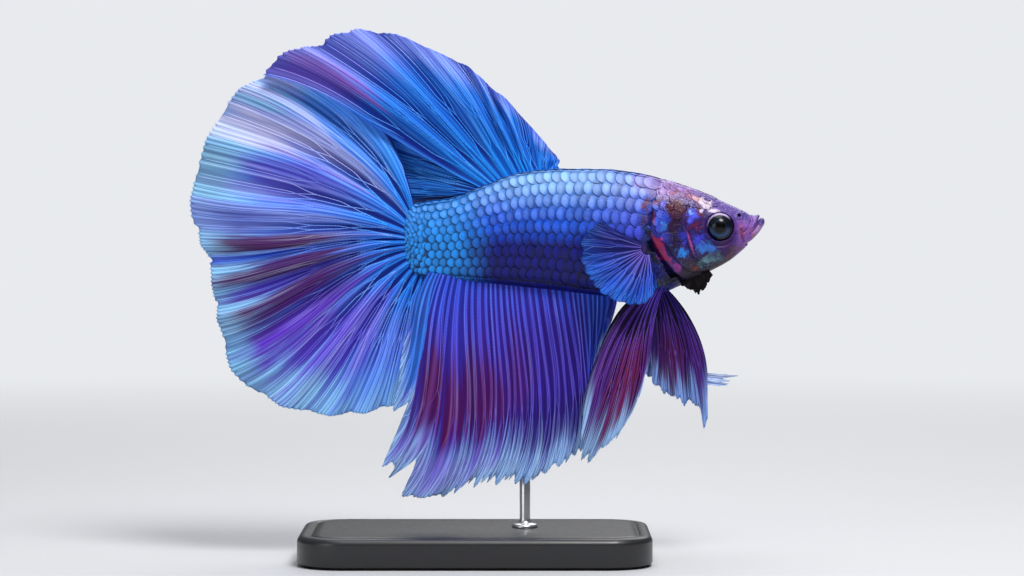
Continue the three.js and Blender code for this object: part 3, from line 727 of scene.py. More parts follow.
class Tree:
    """Adds nodes to a tree, their maths written as Python expressions."""

    def node(self, kind, settings=None, inputs=None, output=0):
        """Adds a node with its settings, and its sockets' values or links; gives one output."""
        node = self.tree.nodes.new(kind)
        for key, value in (settings or {}).items():
            setattr(node, key, value)
        for key, value in (inputs or {}).items():
            self.feed(node.inputs[key], value)
        return Value(self, node.outputs[output])

    def feed(self, socket, value):
        if isinstance(value, Value):
            self.tree.links.new(value.socket, socket)
        else:
            socket.default_value = (*value, 1.0) if socket.type == "RGBA" else value

    def math(self, operation, a, b=0.0):
        return self.node("ShaderNodeMath", {"operation": operation}, {0: a, 1: b})

    def vectors(self, operation, inputs, output=0):
        return self.node("ShaderNodeVectorMath", {"operation": operation}, inputs, output)

    def vector(self, x=0.0, y=0.0, z=0.0):
        return self.node("ShaderNodeCombineXYZ", None, {0: x, 1: y, 2: z})

    def parts(self, vector):
        return [self.node("ShaderNodeSeparateXYZ", None, {0: vector}, k) for k in range(3)]


class Finish(Tree):
    """Builds one material; its base colour is painted over layer by layer."""

    def __init__(self, name, base=None):
        self.material = bpy.data.materials.new(name)
        self.material.use_nodes = True
        self.tree = self.material.node_tree
        self.tree.nodes.clear()
        self.output = self.tree.nodes.new("ShaderNodeOutputMaterial")
        self.base = base

    def place(self):
        """The point's x, y and z and all three together, in millimetres."""
        here = self.node("ShaderNodeTexCoord", output="Object")
        where = self.vectors("SCALE", {0: here, "Scale": 1 / MM})
        return *self.parts(where), where

    def attribute(self, name):
        """A value that the mesh keeps for each of its points."""
        return self.node("ShaderNodeAttribute", {"attribute_name": name}, None, "Fac")

    def wander(self, where, scale, amount):
        """The same place pushed a little aside, so that what is drawn there is irregular."""
        noise = self.node("ShaderNodeTexNoise", None, {"Vector": where, "Scale": scale, "Detail": 3.0}, 1)
        moved = self.vectors("MULTIPLY_ADD", {0: noise, 1: (amount,) * 3, 2: where})
        return self.vectors("SUBTRACT", {0: moved, 1: (amount / 2,) * 3})

    def blend(self, factor, a, b):
        """Colour a where the factor is 0, b where it is 1."""
        a, b = (colour(tone) if isinstance(tone, str) else tone for tone in (a, b))
        return self.node("ShaderNodeMix", {"data_type": "RGBA"}, {0: factor, 6: a, 7: b}, 2)

    def paint(self, factor, tone):
        """Lays a tone over the base colour where the factor is above 0."""
        self.base = self.blend(factor, self.base, tone)

    def bump(self, height, distance, strength):
        """Fine relief, its full height given in millimetres."""
        inputs = {"Height": height, "Distance": distance * MM, "Strength": strength}
        return self.node("ShaderNodeBump", None, inputs)

    def surface(self, **values):
        """Ends the material with these values of its shader."""
        names = {key.replace("_", " "): value for key, value in values.items()}
        self.shader = self.node("ShaderNodeBsdfPrincipled", None, {"Base Color": self.base, **names})
        self.feed(self.output.inputs["Surface"], self.shader)
        return self.material


def linear(text):
    """Linear colour from an sRGB hex text."""
    values = [int(text[k : k + 2], 16) / 255 for k in (0, 2, 4)]
    return tuple(v / 12.92 if v <= 0.04045 else ((v + 0.055) / 1.055) ** 2.4 for v in values)


def colour(tone):
    """One of the fish's named colours, or that of a hex text."""
    named = getattr(bpy.context.scene.fish_colours, tone, None)
    return linear(tone) if named is None else tuple(named)


# ---------------------------------------------------------------- sizes and colours
def size(name, description, default):
    """A length for the panel, its default in millimetres."""
    return bpy.props.FloatProperty(name=name, description=description, default=default * MM, unit="LENGTH")


def tint(name, description, text):
    """A colour for the panel, its default as a hex text."""
    return bpy.props.FloatVectorProperty(
        name=name, description=description, default=linear(text), subtype="COLOR", size=3, min=0, max=1
    )


class FishSizes(bpy.types.PropertyGroup):
    """Sizes of the fish's fine surface."""

    skin_cell: size("Skin cell", "Spacing of the skin's mesh on the head", 0.105)
    trunk_cell: size("Trunk cell", "Spacing of the skin's mesh under the scales", 0.46)
    scale_rows: bpy.props.IntProperty(name="Scale rows", description="Rows of scales on a side", default=10)
    scale_lift: size("Scale lift", "Height of a scale's free edge over the skin", 0.17)
    web_root: size("Web at root", "Thickness of a fin's web at its root", 0.26)
    web_hem: size("Web at hem", "Thickness of a fin's web at its hem", 0.07)
    ray_root: size("Ray at root", "Radius of a fin ray at its root", 0.16)
    ray_tip: size("Ray at tip", "Radius of a fin ray at its tip", 0.05)
    ray_sides: bpy.props.IntProperty(name="Ray sides", description="Sides of a fin ray's tube", default=6)


class FishColours(bpy.types.PropertyGroup):
    """Colours of the fish's skin, scales and eyes."""

    # The back's pale and the belly's dark are partly the fish's own colours, partly painted light from above
    # and painted shade below.
    back: tint("Back", "Scales along the back", "76b2f8")
    flank: tint("Flank", "Scales along the flank", "0450dc")
    belly: tint("Belly", "Scales low on the side", "030a7c")
    # Painted shade: the dark between and under the scales; the same dark also gives scales and head skin
    # their darker random flecks and tones.
    shade: tint("Between scales", "Skin between the scales", "03062a")
    # A paler middle on the upper scales: partly their own colour, partly painted highlight of light from
    # above.
    gleam: tint("Gleam", "Light middle of a scale on the back", "b4d0fa")
    tail_root: tint("Tail root", "Small scales at the tail root", "249cff")
    violet: tint("Violet", "Violet of the front of the flank", "5646d8")
    maroon: tint("Maroon", "Dark red flecks of the cheeks", "5a1230")
    forehead: tint("Forehead", "Skin over the head", "4a3884")
    cheek: tint("Cheek", "Skin of the cheek", "260f56")
    lips: tint("Lips", "Skin of the lips and snout", "7c4ea4")
    chin: tint("Chin", "Skin under the jaw", "2a2030")
    iris: tint("Iris", "The dark of the iris", "0a1526")
    iris_ring: tint("Iris ring", "Thin ring round the pupil", "1c3458")
    # Painted reflection: the pale crescent at the bottom of the iris.
    iris_low: tint("Iris below", "Lighter lower edge of the iris", "2c4c7c")
    # Painted highlight: the pale upper rim of the eye.
    eye_rim: tint("Eye rim", "Pale upper rim of the eye", "b4a0cc")


class StandSettings(bpy.types.PropertyGroup):
    """Colours and edges of the display stand; its size is the frame's own."""

    plinth: tint("Plinth", "Satin black of the plinth", "1d1d20")
    rod: tint("Rod", "Brushed steel of the rod", "cfd1d4")
    corner: size("Corner", "Radius of the plinth's corners", 6.0)
    bevel: size("Bevel", "Rounding of the plinth's upper edge", 0.8)


class StageSettings(bpy.types.PropertyGroup):
    """Light and colours of the studio round the model."""

    floor: tint("Floor", "Pale floor round the model", "bcbdc0")
    backdrop: tint("Backdrop", "Pale tone far from the model", "e8eaee")
    power: bpy.props.FloatProperty(name="Power", description="Strength of all lamps", default=1.0)
    view_width: size("View width", "Width that the camera takes in at the fish", 134.0)
    view_tilt: bpy.props.FloatProperty(
        name="View tilt", description="How far the camera looks down", default=math.radians(2),
        subtype="ANGLE",
    )


def sizes():
    return bpy.context.scene.fish_sizes


# ---------------------------------------------------------------- finishes
def spot(finish, where, x, z, wide, high, wobble, strength=1.0, turn=0.0):
    """Strength inside a soft oval on the side of the fish, 0 outside; wobble is a noise that frays it."""
    oval = {"Location": (x, 0.0, z), "Rotation": (0.0, -math.radians(turn), 0.0), "Scale": (wide, 1e6, high)}
    moved = finish.node("ShaderNodeMapping", {"vector_type": "TEXTURE"}, {"Vector": where, **oval})
    return (finish.vectors("LENGTH", {0: moved}, "Value") + wobble).between(1.35, 0.45, strength)


# Each marking of the head: its centre, half length and half height, turn in degrees, colour, strength. Most
# are the fish's own colours; the rows noted below are painted highlight or painted shade.
HEAD_MARKS = (
    (25.2, 48.6, 4.2, 1.4, -10, "a884cc", 0.75), (26.0, 48.2, 0.8, 0.5, -15, "8c3a44", 0.7),
    (27.7, 47.7, 0.8, 0.45, -20, "843850", 0.65), (31.6, 46.5, 2.8, 0.7, -26, "5a4690", 0.8),
    (26.0, 46.1, 1.5, 1.2, -15, "4c0c20", 0.95), (26.1, 43.5, 0.85, 2.2, 0, "2c0826", 0.95),
    (25.8, 41.0, 0.9, 1.1, 30, "1c0828", 0.9), (24.35, 44.5, 0.8, 1.4, 0, "2444c8", 0.85),
    (24.6, 43.7, 0.45, 0.6, 0, "3c8ce4", 0.65), (24.4, 46.6, 0.5, 0.7, 0, "6c6ae4", 0.7),
    (28.2, 45.1, 0.85, 0.8, 0, "4c54e4", 0.9), (27.9, 45.3, 0.4, 0.35, 0, "74b0f8", 0.7),
    (29.3, 45.6, 0.5, 0.9, 15, "5c1028", 0.9), (28.4, 43.7, 1.1, 0.35, 8, "54103c", 0.85),
    (26.9, 42.0, 0.45, 1.0, 12, "2c34c0", 0.8), (27.1, 40.1, 0.55, 0.7, 20, "1c84e4", 0.85),
    (29.1, 42.0, 0.7, 1.1, 10, "343cd0", 0.8), (30.1, 40.9, 1.3, 0.7, -8, "2f74d0", 0.85),
    (32.4, 41.2, 1.0, 0.8, 0, "3c1458", 0.8), (30.5, 39.3, 1.5, 0.6, 20, "58808c", 0.8),
    (28.5, 38.3, 0.45, 0.35, 0, "7c2c1c", 0.8), (33.4, 40.2, 1.9, 0.5, 42, "5c3a44", 0.8),
    (34.7, 43.1, 0.4, 1.0, 10, "803850", 0.6), (36.3, 42.6, 0.8, 0.45, -35, "b06878", 0.65),
    # Painted shade: the first mark on this line darkens the front nostril's pit.
    (34.4, 45.1, 0.19, 0.19, 0, "04040c", 0.95), (33.6, 42.6, 0.5, 0.9, 0, "3c2470", 0.7),
    (35.9, 43.9, 0.5, 1.1, -20, "9464b8", 0.6), (37.0, 43.3, 0.5, 1.0, -35, "b088c0", 0.7),
    (27.95, 41.6, 0.17, 1.7, 17, "a03c80", 0.8), (22.4, 49.5, 2.0, 1.0, -8, "a494e6", 0.65),
    (22.3, 46.6, 0.45, 0.9, 0, "7c2448", 0.85), (23.4, 46.9, 0.4, 0.6, 0, "7c2440", 0.8),
    (23.1, 44.8, 0.32, 1.0, 0, "741c48", 0.85), (22.0, 44.6, 0.4, 0.8, 0, "642050", 0.75),
    # Painted highlight: the four pale pink and white marks on this line and the next lie above and behind
    # the eye, where light falls from above.
    (28.9, 47.25, 1.0, 0.32, -28, "f4b8bc", 0.85), (30.0, 46.5, 1.0, 0.4, -28, "f4e0ee", 0.9),
    (31.0, 45.75, 0.9, 0.3, -12, "e4d0ec", 0.75), (29.6, 45.9, 0.4, 0.35, 0, "e0d0f8", 0.75),
    (23.55, 41.6, 0.42, 1.3, 30, "f42c64", 0.95), (24.7, 39.8, 0.42, 1.3, 35, "e03080", 0.95),
    (26.1, 38.3, 0.4, 1.2, 52, "a03ca0", 0.9), (22.0, 40.8, 0.5, 0.9, 0, "8a50b4", 0.7),
    # Painted shadow: the two near-black marks on this line lie in the gill opening.
    (22.6, 42.9, 0.35, 1.1, 20, "030207", 0.95), (23.3, 39.9, 0.5, 2.3, 32, "030207", 0.95),
    # Painted shade: the first mark on this line darkens the throat along the lower gill opening.
    (25.6, 36.9, 1.9, 0.9, 20, "100c10", 0.9), (23.8, 36.0, 1.2, 0.7, 0, "3c4854", 0.7),
)


def markings(finish, x, z, where):
    """Paints the fish's colours by place, with painted light and painted shade among them, alike for skin
    and scales; gives where the head's skin begins.
    """
    drift, fray = where.noise(0.55, 2.0) - 0.5, where.noise(1.7, 4.0, 0.6) - 0.5
    fleck = where.noise(6.0, 3.0, 0.6)
    wandering = finish.wander(where, 0.9, 2.6)
    height = z + 1.6 * drift
    # From the dark belly to the pale back: partly the fish's own colours, partly painted light from above
    # and painted shade below.
    finish.base = finish.blend(height.between(40.8, 44.2), "belly", "flank")
    finish.paint(height.between(44.4, 50.4) * 0.9, "back")
    finish.paint((x + 2.5 * drift).between(3.0, -4.0) * 0.85, "tail_root")
    finish.paint((x + 3.0 * drift).between(12.0, 22.0) * z.between(40.0, 43.5) * 0.5, "violet")
    head = (x + 0.3 * (z - 44.0) + 2.0 * fray).between(23.0, 25.8)
    skin = finish.blend((z + fray).between(38.6, 41.0), "chin", "cheek")
    skin = finish.blend((x + fray).between(33.2, 34.6), skin, "lips")
    skin = finish.blend((z + 0.3 * (x - 29.0) + fray).between(45.4, 46.8), skin, "forehead")
    finish.paint(head, skin)
    wobble = fray * 0.7 + (fleck - 0.5) * 0.8
    for *oval, turn, tone, strength in HEAD_MARKS:
        around_it = wandering if min(oval[2:]) > 0.33 else where
        finish.paint(spot(finish, around_it, *oval, wobble, strength, turn), tone)
    near = (x + fray).between(21.5, 24.0) * z.between(37.8, 38.8)
    pits = fleck.between(0.42, 0.33) * near
    finish.paint(fleck.between(0.57, 0.68) * near * 0.5, "maroon")
    finish.paint(pits * z.between(44.5, 47.0) * 0.7, "ecd0ee")
    finish.paint(pits * z.between(45.0, 43.0) * x.between(33.0, 31.0) * 0.45, "4c8cf0")
    return head


def beside_ridge(finish, y, z):
    """0 along the very top of the back, where no painted shade shows between the scales."""
    return 1.0 - finish.math("ABSOLUTE", y).between(1.5, 0.8) * z.between(43.0, 45.5)


def skin_finish():
    finish = Finish("betta_skin")
    x, y, z, where = finish.place()
    head = markings(finish, x, z, where)
    # Painted shade: the skin between the scales, dark except along the top of the back.
    finish.paint((1.0 - head) * 0.75 * beside_ridge(finish, y, z), "shade")
    cells = {"Vector": where, "Scale": 2.6}
    grain = finish.node("ShaderNodeTexVoronoi", {"feature": "SMOOTH_F1"}, cells)
    finish.paint(grain.between(0.45, 0.8) * head * 0.35, "shade")
    return finish.surface(
        Roughness=where.noise(3.0) * 0.2 + 0.3, Specular_IOR_Level=0.25, Coat_Weight=0.08,
        Coat_Roughness=0.2, Normal=finish.bump(where.noise(6.0, 4.0, 0.6) - grain * 0.7, 0.06, 0.6),
    )


def eye_finish():
    finish = Finish("betta_eye")
    x, _, z, where = finish.place()
    dx, dz = x - EYE[0], z - EYE[1]
    away = finish.math("SQRT", dx * dx + dz * dz)
    finish.base = finish.blend(where.noise(3.0, 3.0).between(0.35, 0.7), "03050b", "iris")
    # Painted reflection: a pale crescent along the lower edge of the iris.
    low = dz.between(0.3, -0.9) * away.between(0.85, 1.05) * away.between(1.5, 1.25)
    finish.paint(low * 0.7, "iris_low")
    finish.paint(away.between(0.74, 0.8) * away.between(0.92, 0.84) * 0.4, "iris_ring")
    finish.paint(away.between(0.8, 0.74), "000000")
    finish.paint(away.between(1.3, 1.5) * 0.85, "04060e")
    # Painted highlight: a pale rim along the top and rear of the eye.
    finish.paint((dz - 0.4 * dx).between(0.3, 1.2) * away.between(1.48, 1.64) * 0.85, "eye_rim")
    return finish.surface(Roughness=0.3, Specular_IOR_Level=0.12, Coat_Weight=0.3, Coat_Roughness=0.03)


def scale_finish():
    finish = Finish("betta_scales")
    x, y, z, where = finish.place()
    head = markings(finish, x, z, where)
    a, b, tone = (finish.attribute(name) for name in ("lengthways", "crossways", "tone"))
    # Each scale's dark rim is partly its own dark edge and partly painted shade; under is painted shade on
    # its front part, beneath the scale ahead of it. Both are drawn in the edge tone, which is darker low on
    # the side.
    rim = (a * a + b * b).between(0.7, 1.0) * (1.0 - 0.6 * z.between(47.5, 50.0))
    rim = rim * beside_ridge(finish, y, z) * 0.88
    under = (a + 0.25 * b * b).between(-0.45, 0.1) * 0.85
    edge = finish.blend(0.94 - 0.34 * z.between(40.5, 46.0), finish.base, "shade")
    finish.paint(finish.math("MINIMUM", rim + under, 1.0) * finish.attribute("bold"), edge)
    growth = finish.math("COSINE", finish.math("SQRT", a * a + b * b) * 30.0)
    inner = (a + 0.55) * (a + 0.55) * 4.0 + (b + 0.1) * (b + 0.1) * 1.6
    # Paler middle of each upper scale: partly its own colour, partly painted highlight of light from above.
    finish.paint(inner.between(0.8, 0.0) * z.between(42.0, 49.5) * (1.0 - head) * 0.35, "gleam")
    grain = where.noise(8.0, 3.0, 0.65)
    finish.paint(grain.between(0.5, 0.72) * (1.0 - head) * z.between(40.5, 46.0) * 0.4, "back")
    finish.paint(grain.between(0.46, 0.3) * 0.35, "shade")
    finish.paint(tone.between(0.35, 1.0) * 0.3, "shade")
    return finish.surface(
        Roughness=0.38, Specular_IOR_Level=0.25, Coat_Weight=0.08, Coat_Roughness=0.25,
        Normal=finish.bump(grain + growth * 0.08, 0.05, 0.6),
    )


# Colours of each fin's web and rays at its root, middle and hem, and how strongly it is shaded: sheen is
# painted highlight along the rays, hollow is painted shade between the bundles, and fold is painted shade
# and
# highlight on the folds. Each zone: its place and radii (across the fin 0 to 1, out from the root 0 to 1),
# colour, strength, how frayed it is, and how far it also tints the rays.
USUAL = dict(soft=0.35, sheen=0.35, joints=40, depth=0.6, hollow=0.8, fold=0.3, clear=0.0, zones=())
PLANS = {
    "caudal_fin": dict(
        web="1078f8 5880f8 84c4fa", rays="44b0ff 84acff a8dcff", pale="d8e4ff", dark="08186c",
        sheen=0.45, joints=60, depth=0.5, hollow=0.95, fold=0.0, clear=0.22,
        zones=(
            (0.06, 0.5, 0.09, 0.45, "3c98ff", 0.8, 0.5, 0.5),
            (0.04, 0.93, 0.07, 0.2, "b4b8ff", 0.8, 0.8, 0.7),
            (0.15, 0.66, 0.036, 0.42, "b8bcff", 0.8, 1.5, 0.8),
            (0.185, 0.85, 0.024, 0.3, "dcdcff", 0.75, 1.7, 0.8),
            (0.115, 0.8, 0.016, 0.3, "c4ccff", 0.7, 1.5, 0.8),
            (0.255, 0.72, 0.014, 0.3, "a8b0ff", 0.65, 1.4, 0.7),
            (0.225, 0.5, 0.04, 0.28, "5c48cc", 0.8, 1.1, 0.5),
            (0.27, 0.95, 0.07, 0.14, "74b0d0", 0.7, 0.8, 0.4),
            (0.315, 0.7, 0.03, 0.4, "90a0fc", 0.8, 1.0, 0.7),
            (0.53, 0.58, 0.16, 0.34, "3c1c9c", 0.75, 1.0, 0.55),
            (0.372, 0.58, 0.034, 0.42, "4c0834", 0.95, 0.7, 0.85),
            (0.412, 0.8, 0.012, 0.4, "1c58f4", 0.9, 0.3, 0.8),
            (0.455, 0.58, 0.034, 0.4, "480840", 0.94, 1.0, 0.8),
            (0.5, 0.62, 0.018, 0.4, "5a40d4", 0.8, 0.9, 0.5),
            (0.545, 0.56, 0.038, 0.4, "4c0848", 0.94, 1.0, 0.75),
            (0.6, 0.52, 0.04, 0.36, "50107c", 0.9, 1.0, 0.6),
            (0.7, 0.6, 0.09, 0.36, "6838d4", 0.85, 1.3, 0.55),
            (0.6, 0.97, 0.09, 0.1, "74b4e0", 0.7, 0.8, 0.4),
            (0.79, 0.6, 0.05, 0.32, "6448e0", 0.75, 1.2, 0.45),
            (0.86, 0.85, 0.14, 0.2, "60a4ff", 0.6, 0.8, 0.3),
        ),
    ),
    "dorsal_fin": dict(
        web="0c70dc 1868d8 6888f8", rays="28a4ff 409cff a8c4ff", pale="90c8ff", dark="04207c",
        joints=50, depth=0.5, hollow=0.35, fold=0.7, clear=0.1,
        zones=(
            (0.9, 0.92, 0.15, 0.26, "9490ff", 0.85, 1.0, 0.75),
            (0.955, 0.8, 0.065, 0.2, "a452c4", 0.7, 1.5, 0.4),
            (0.66, 0.97, 0.26, 0.14, "8494ff", 0.75, 1.0, 0.6),
            (0.3, 0.97, 0.28, 0.12, "4468f0", 0.6, 0.8, 0.4),
            (0.03, 0.5, 0.08, 0.6, "1c84ec", 0.6, 0.4, 0.3),
        ),
    ),
    "dorsal_rear": dict(
        web="063f9c 0c5cc4 1866d0", rays="1c80e4 3a98f0 4ca0f4", pale="84bcf8", dark="04145c", soft=0.3,
        # Dark red along the last ray over the back: partly the fin's own dark red, partly painted shadow in
        # the hollow above the back.
        zones=((0.98, 0.4, 0.1, 0.7, "2c0a1c", 0.97, 0.2, 0.95),),
    ),
    "anal_fin": dict(
        web="2a4ce0 4428b4 8cc0ff", rays="4878fa 7470f8 c8e4ff", pale="bcd4ff", dark="180a64",
        sheen=0.3, joints=64, depth=0.5, hollow=0.5, fold=0.15, clear=0.2,
        zones=(
            (0.05, 0.4, 0.06, 0.5, "2888f4", 0.85, 0.4, 0.7),
            (0.5, 0.2, 0.34, 0.2, "5c34c4", 0.6, 1.5, 0.4),
            (0.15, 0.52, 0.05, 0.27, "5c0420", 0.92, 1.1, 0.55),
            (0.3, 0.52, 0.14, 0.2, "640428", 0.92, 1.0, 0.5),
            (0.48, 0.46, 0.1, 0.22, "600c50", 0.75, 1.2, 0.3),
            (0.66, 0.42, 0.12, 0.3, "3c1888", 0.75, 1.2, 0.3),
            (0.62, 0.68, 0.2, 0.14, "260c5c", 0.75, 1.0, 0.4),
            (0.93, 0.4, 0.1, 0.6, "1050d4", 0.9, 0.6, 0.6),
            (0.25, 0.84, 0.18, 0.1, "9080f4", 0.6, 0.8, 0.3),
        ),
    ),
    "pelvic_fin_right": dict(
        web="240c58 3c1054 90c4ff", rays="6044d4 7c4cc8 c0dcff", pale="c0a4f4", dark="0c0320",
        soft=0.4, sheen=0.25, clear=0.1,
        zones=(
            (0.02, 0.4, 0.13, 0.6, "06081c", 0.95, 0.3, 0.9),
            (0.22, 0.5, 0.08, 0.4, "582890", 0.7, 1.0, 0.3),
            (0.5, 0.55, 0.19, 0.26, "70082c", 0.9, 1.2, 0.45),
            (0.92, 0.4, 0.16, 0.4, "280c5c", 0.85, 0.8, 0.6),
        ),
    ),
    "pelvic_fin_left": dict(
        web="1a0a44 3c0e54 6c98f0", rays="5038c0 603cb0 b0d0fc", pale="ac94ec", dark="0a0320",
        soft=0.4, sheen=0.2, clear=0.1,
        zones=(
            (0.35, 0.6, 0.3, 0.28, "580c38", 0.8, 1.0, 0.5),
            (0.1, 0.4, 0.2, 0.5, "1c0e50", 0.8, 0.6, 0.6),
        ),
    ),
    "pelvic_streamer": dict(
        web="2a1450 6c88d8 94b4f0", rays="4a3478 a8c0f6 e0ecff", pale="f4f8ff", dark="1c2050",
        soft=0.0, sheen=0.5, joints=30, depth=0.4, fold=0.0,
    ),
    "pectoral_fin": dict(
        web="3c2c94 0c40b4 1c5ccc", rays="8c74e0 5c74f0 4c94f4", pale="b0b8fa", dark="081050",
        joints=24, clear=0.15,
        zones=(
            (0.05, 0.6, 0.22, 0.6, "24186c", 0.85, 0.6, 0.7),
            (0.6, 0.8, 0.4, 0.25, "1458d4", 0.6, 0.8, 0.3),
        ),
    ),
    "gill_frill": dict(
        web="100810 0a060a 060406", rays="1c1018 140c12 0c080a", pale="281c24", dark="040304",
        soft=0.0, sheen=0.2, joints=8, depth=0.4, hollow=0.4, fold=0.2,
    ),
}


FIN_PARTS = ("root", "middle", "hem")


def plan_name(fin):
    """The plan that a fin is painted by; left and right fins may share one."""
    return next(name for name in PLANS if fin.name.startswith(name))


class FinColours(bpy.types.PropertyGroup):
    """Colours of each fin's web and rays at its root, middle and hem."""

    __annotations__ = {
        f"{plan}_{layer}_{part}": tint(
            f"{plan} {layer}, {part}".replace("_", " "), f"Colour of the {layer} at the fin's {part}", tone
        )
        for plan, paint in PLANS.items()
        for layer in ("web", "rays")
        for part, tone in zip(FIN_PARTS, paint[layer].split())
    }


def fin_finish(fin, is_ray):
    """The finish of a fin's web or rays, by ray coordinate q and share out v, frayed along the rays."""
    name = plan_name(fin)
    plan = {**USUAL, **PLANS[name]}
    finish = Finish(f"{fin.name}_{'rays' if is_ray else 'web'}")
    q, v = finish.attribute("across"), finish.attribute("along")
    pale, dark = plan["pale"], plan["dark"]

    def grain(q_scale, v_scale, shift, detail):
        return finish.vector(q * q_scale + shift, v * v_scale).noise(1.0, detail, flat=True)

    fine, broad = grain(5.0, 2.2, 0.0, 3.0), grain(1.3, 1.6, 9.0, 2.0)
    u = (q - fin.first) * (fin.reach_over[1] / (fin.last - fin.first))
    along = v + (broad - 0.5) * 0.4 + (fine - 0.5) * 0.3
    tones = bpy.context.scene.fin_colours
    layers = []
    for layer in ("web", "rays"):
        root, middle, hem = (tuple(getattr(tones, f"{name}_{layer}_{part}")) for part in FIN_PARTS)
        ground = finish.blend(along.between(0.05, 0.5), root, middle)
        layers.append(finish.blend(along.between(0.63, 0.94), ground, hem))
    web, rays = layers
    for *oval, tone, strength, fray, on_rays in plan["zones"]:
        wobble = ((fine - 0.5) * 1.8 + (broad - 0.5) * 1.2) * fray
        mask = spot(finish, finish.vector(u, 0.0, v), *oval, wobble, strength)
        web = finish.blend(mask, web, tone)
        rays = finish.blend(mask * on_rays, rays, tone)
    # Painted sheen: pale streaks along the rays, as strong as the plan's sheen.
    bright = finish.blend(grain(2.6, 1.4, 3.0, 2.0).between(0.5, 0.72) * plan["sheen"], rays, pale)
    bright = finish.blend(plan["soft"], bright, web)
    if is_ray:
        joints = finish.math("COSINE", v * (TURN * plan["joints"])).between(0.55, 0.95)
        finish.base = finish.blend(joints * v.between(0.75, 0.3) * 0.35, bright, dark)
        return finish.surface(Roughness=0.5, Specular_IOR_Level=0.12)
    local = finish.math("FRACT", q) - 0.5
    off = finish.math("ABSOLUTE", local)
    fork, half = fin.splits[-1], fin.spread / 2
    few, many = (
        finish.math("COSINE", local * (TURN * count / fin.spread) + math.pi * (count + 1)) * 0.5 + 0.5
        for count in (fin.subs / 2, fin.subs)
    )
    ridge = few + (many - few) * v.between(fork - 0.03, fork + 0.14)
    ridge = ridge * off.between(half + 0.04, half - 0.05)
    # crest is 1 on a fold's crest and 0 in its valley, on either face of the web; it places the painted
    # shade and painted highlight of the folds.
    crest = finish.math("COSINE", q * (TURN / fin.ratio)) * finish.attribute("sheet") * -0.5 + 0.5
    thread = grain(30.0, 2.6, 0.0, 2.0)
    deep = finish.blend(plan["depth"], web, dark)
    finish.base = finish.blend(ridge * 0.75 + (thread - 0.5) * 1.7 + 0.12, deep, web)
    finish.paint(ridge * ridge * 0.7, bright)
    # Painted shade: the hollows between the bundles of branches, strongest near the root, as strong as the
    # plan's hollow.
    valley = off.between(half - 0.14, half + 0.05) * v.between(0.95, 0.2) * plan["hollow"]
    # Painted shade in the hollows between the bundles, and in the folds' valleys away from the root.
    finish.paint(valley + crest.between(0.55, 0.0) * plan["fold"] * v.between(0.0, 0.25), dark)
    # Painted highlight on the folds' crests.
    finish.paint(crest.between(0.6, 1.0) * fine.between(0.45, 0.7) * plan["fold"] * 0.5, bright)
    clear = (v + (broad - 0.5) * 0.3).between(0.6, 1.0) * plan["clear"] * (1.0 - ridge * 0.7)
    normal = finish.bump(ridge * 0.6 + thread * 0.5, 0.12, 0.7)
    return finish.surface(Roughness=0.5, Specular_IOR_Level=0.12, Alpha=1.0 - clear, Normal=normal)


# ---------------------------------------------------------------- skin, eyes and fins
def build_skin():
    head, trunk = sizes().skin_cell / MM, sizes().trunk_cell / MM
    xs = spaced([(-9.9, trunk), (17.5, trunk), (23.0, head), (38.2, head)])
    zs = np.arange(33.2, 51.9, head * 1.02)
    ys = (np.arange(44) + 0.5) * head * 1.02
    grid = skin_distance(xs[:, None, None], ys[None, :, None], zs[None, None, :])
    grid = np.concatenate([grid[:, ::-1], grid], axis=1)
    points, quads = surface_of(grid, xs, np.concatenate([-ys[::-1], ys]), zs)
    points = relax(settle(points, skin_distance), quads)
    piece = make_object("skin", settle(points, skin_distance, 1), quads.tolist())
    nodes = ("head", "lower_jaw", "trunk", "tail_stalk", "gill_cover_right", "gill_cover_left")
    hand_over(piece, skin_finish(), "head_skin", *nodes)


def build_eyes():
    material = eye_finish()
    for side, name in BOTH_SIDES:
        rings = []
        for polar in np.linspace(0, math.pi, 41):
            out = math.cos(polar)
            y = side * (EYE_Y + EYE_DEPTH * out * (1 + 0.1 * smooth(0.55, 1.0, out)))
            rings.append(ring(*EYE, y, EYE_RADIUS * math.sin(polar), 64)[:, [0, 2, 1]])
        piece = loft(f"eyeball_{name}", rings, caps=False)
        close_poles(piece)
        hand_over(piece, material, "eye", f"eye_{name}")


def close_poles(piece):
    """Joins points that lie together, drops faces with no area and turns the rest outwards."""
    work = bmesh.new()
    work.from_mesh(piece.data)
    bmesh.ops.remove_doubles(work, verts=work.verts, dist=1e-4 * MM)
    bmesh.ops.dissolve_degenerate(work, edges=work.edges, dist=1e-5 * MM)
    bmesh.ops.recalc_face_normals(work, faces=work.faces)
    work.to_mesh(piece.data)
    work.free()


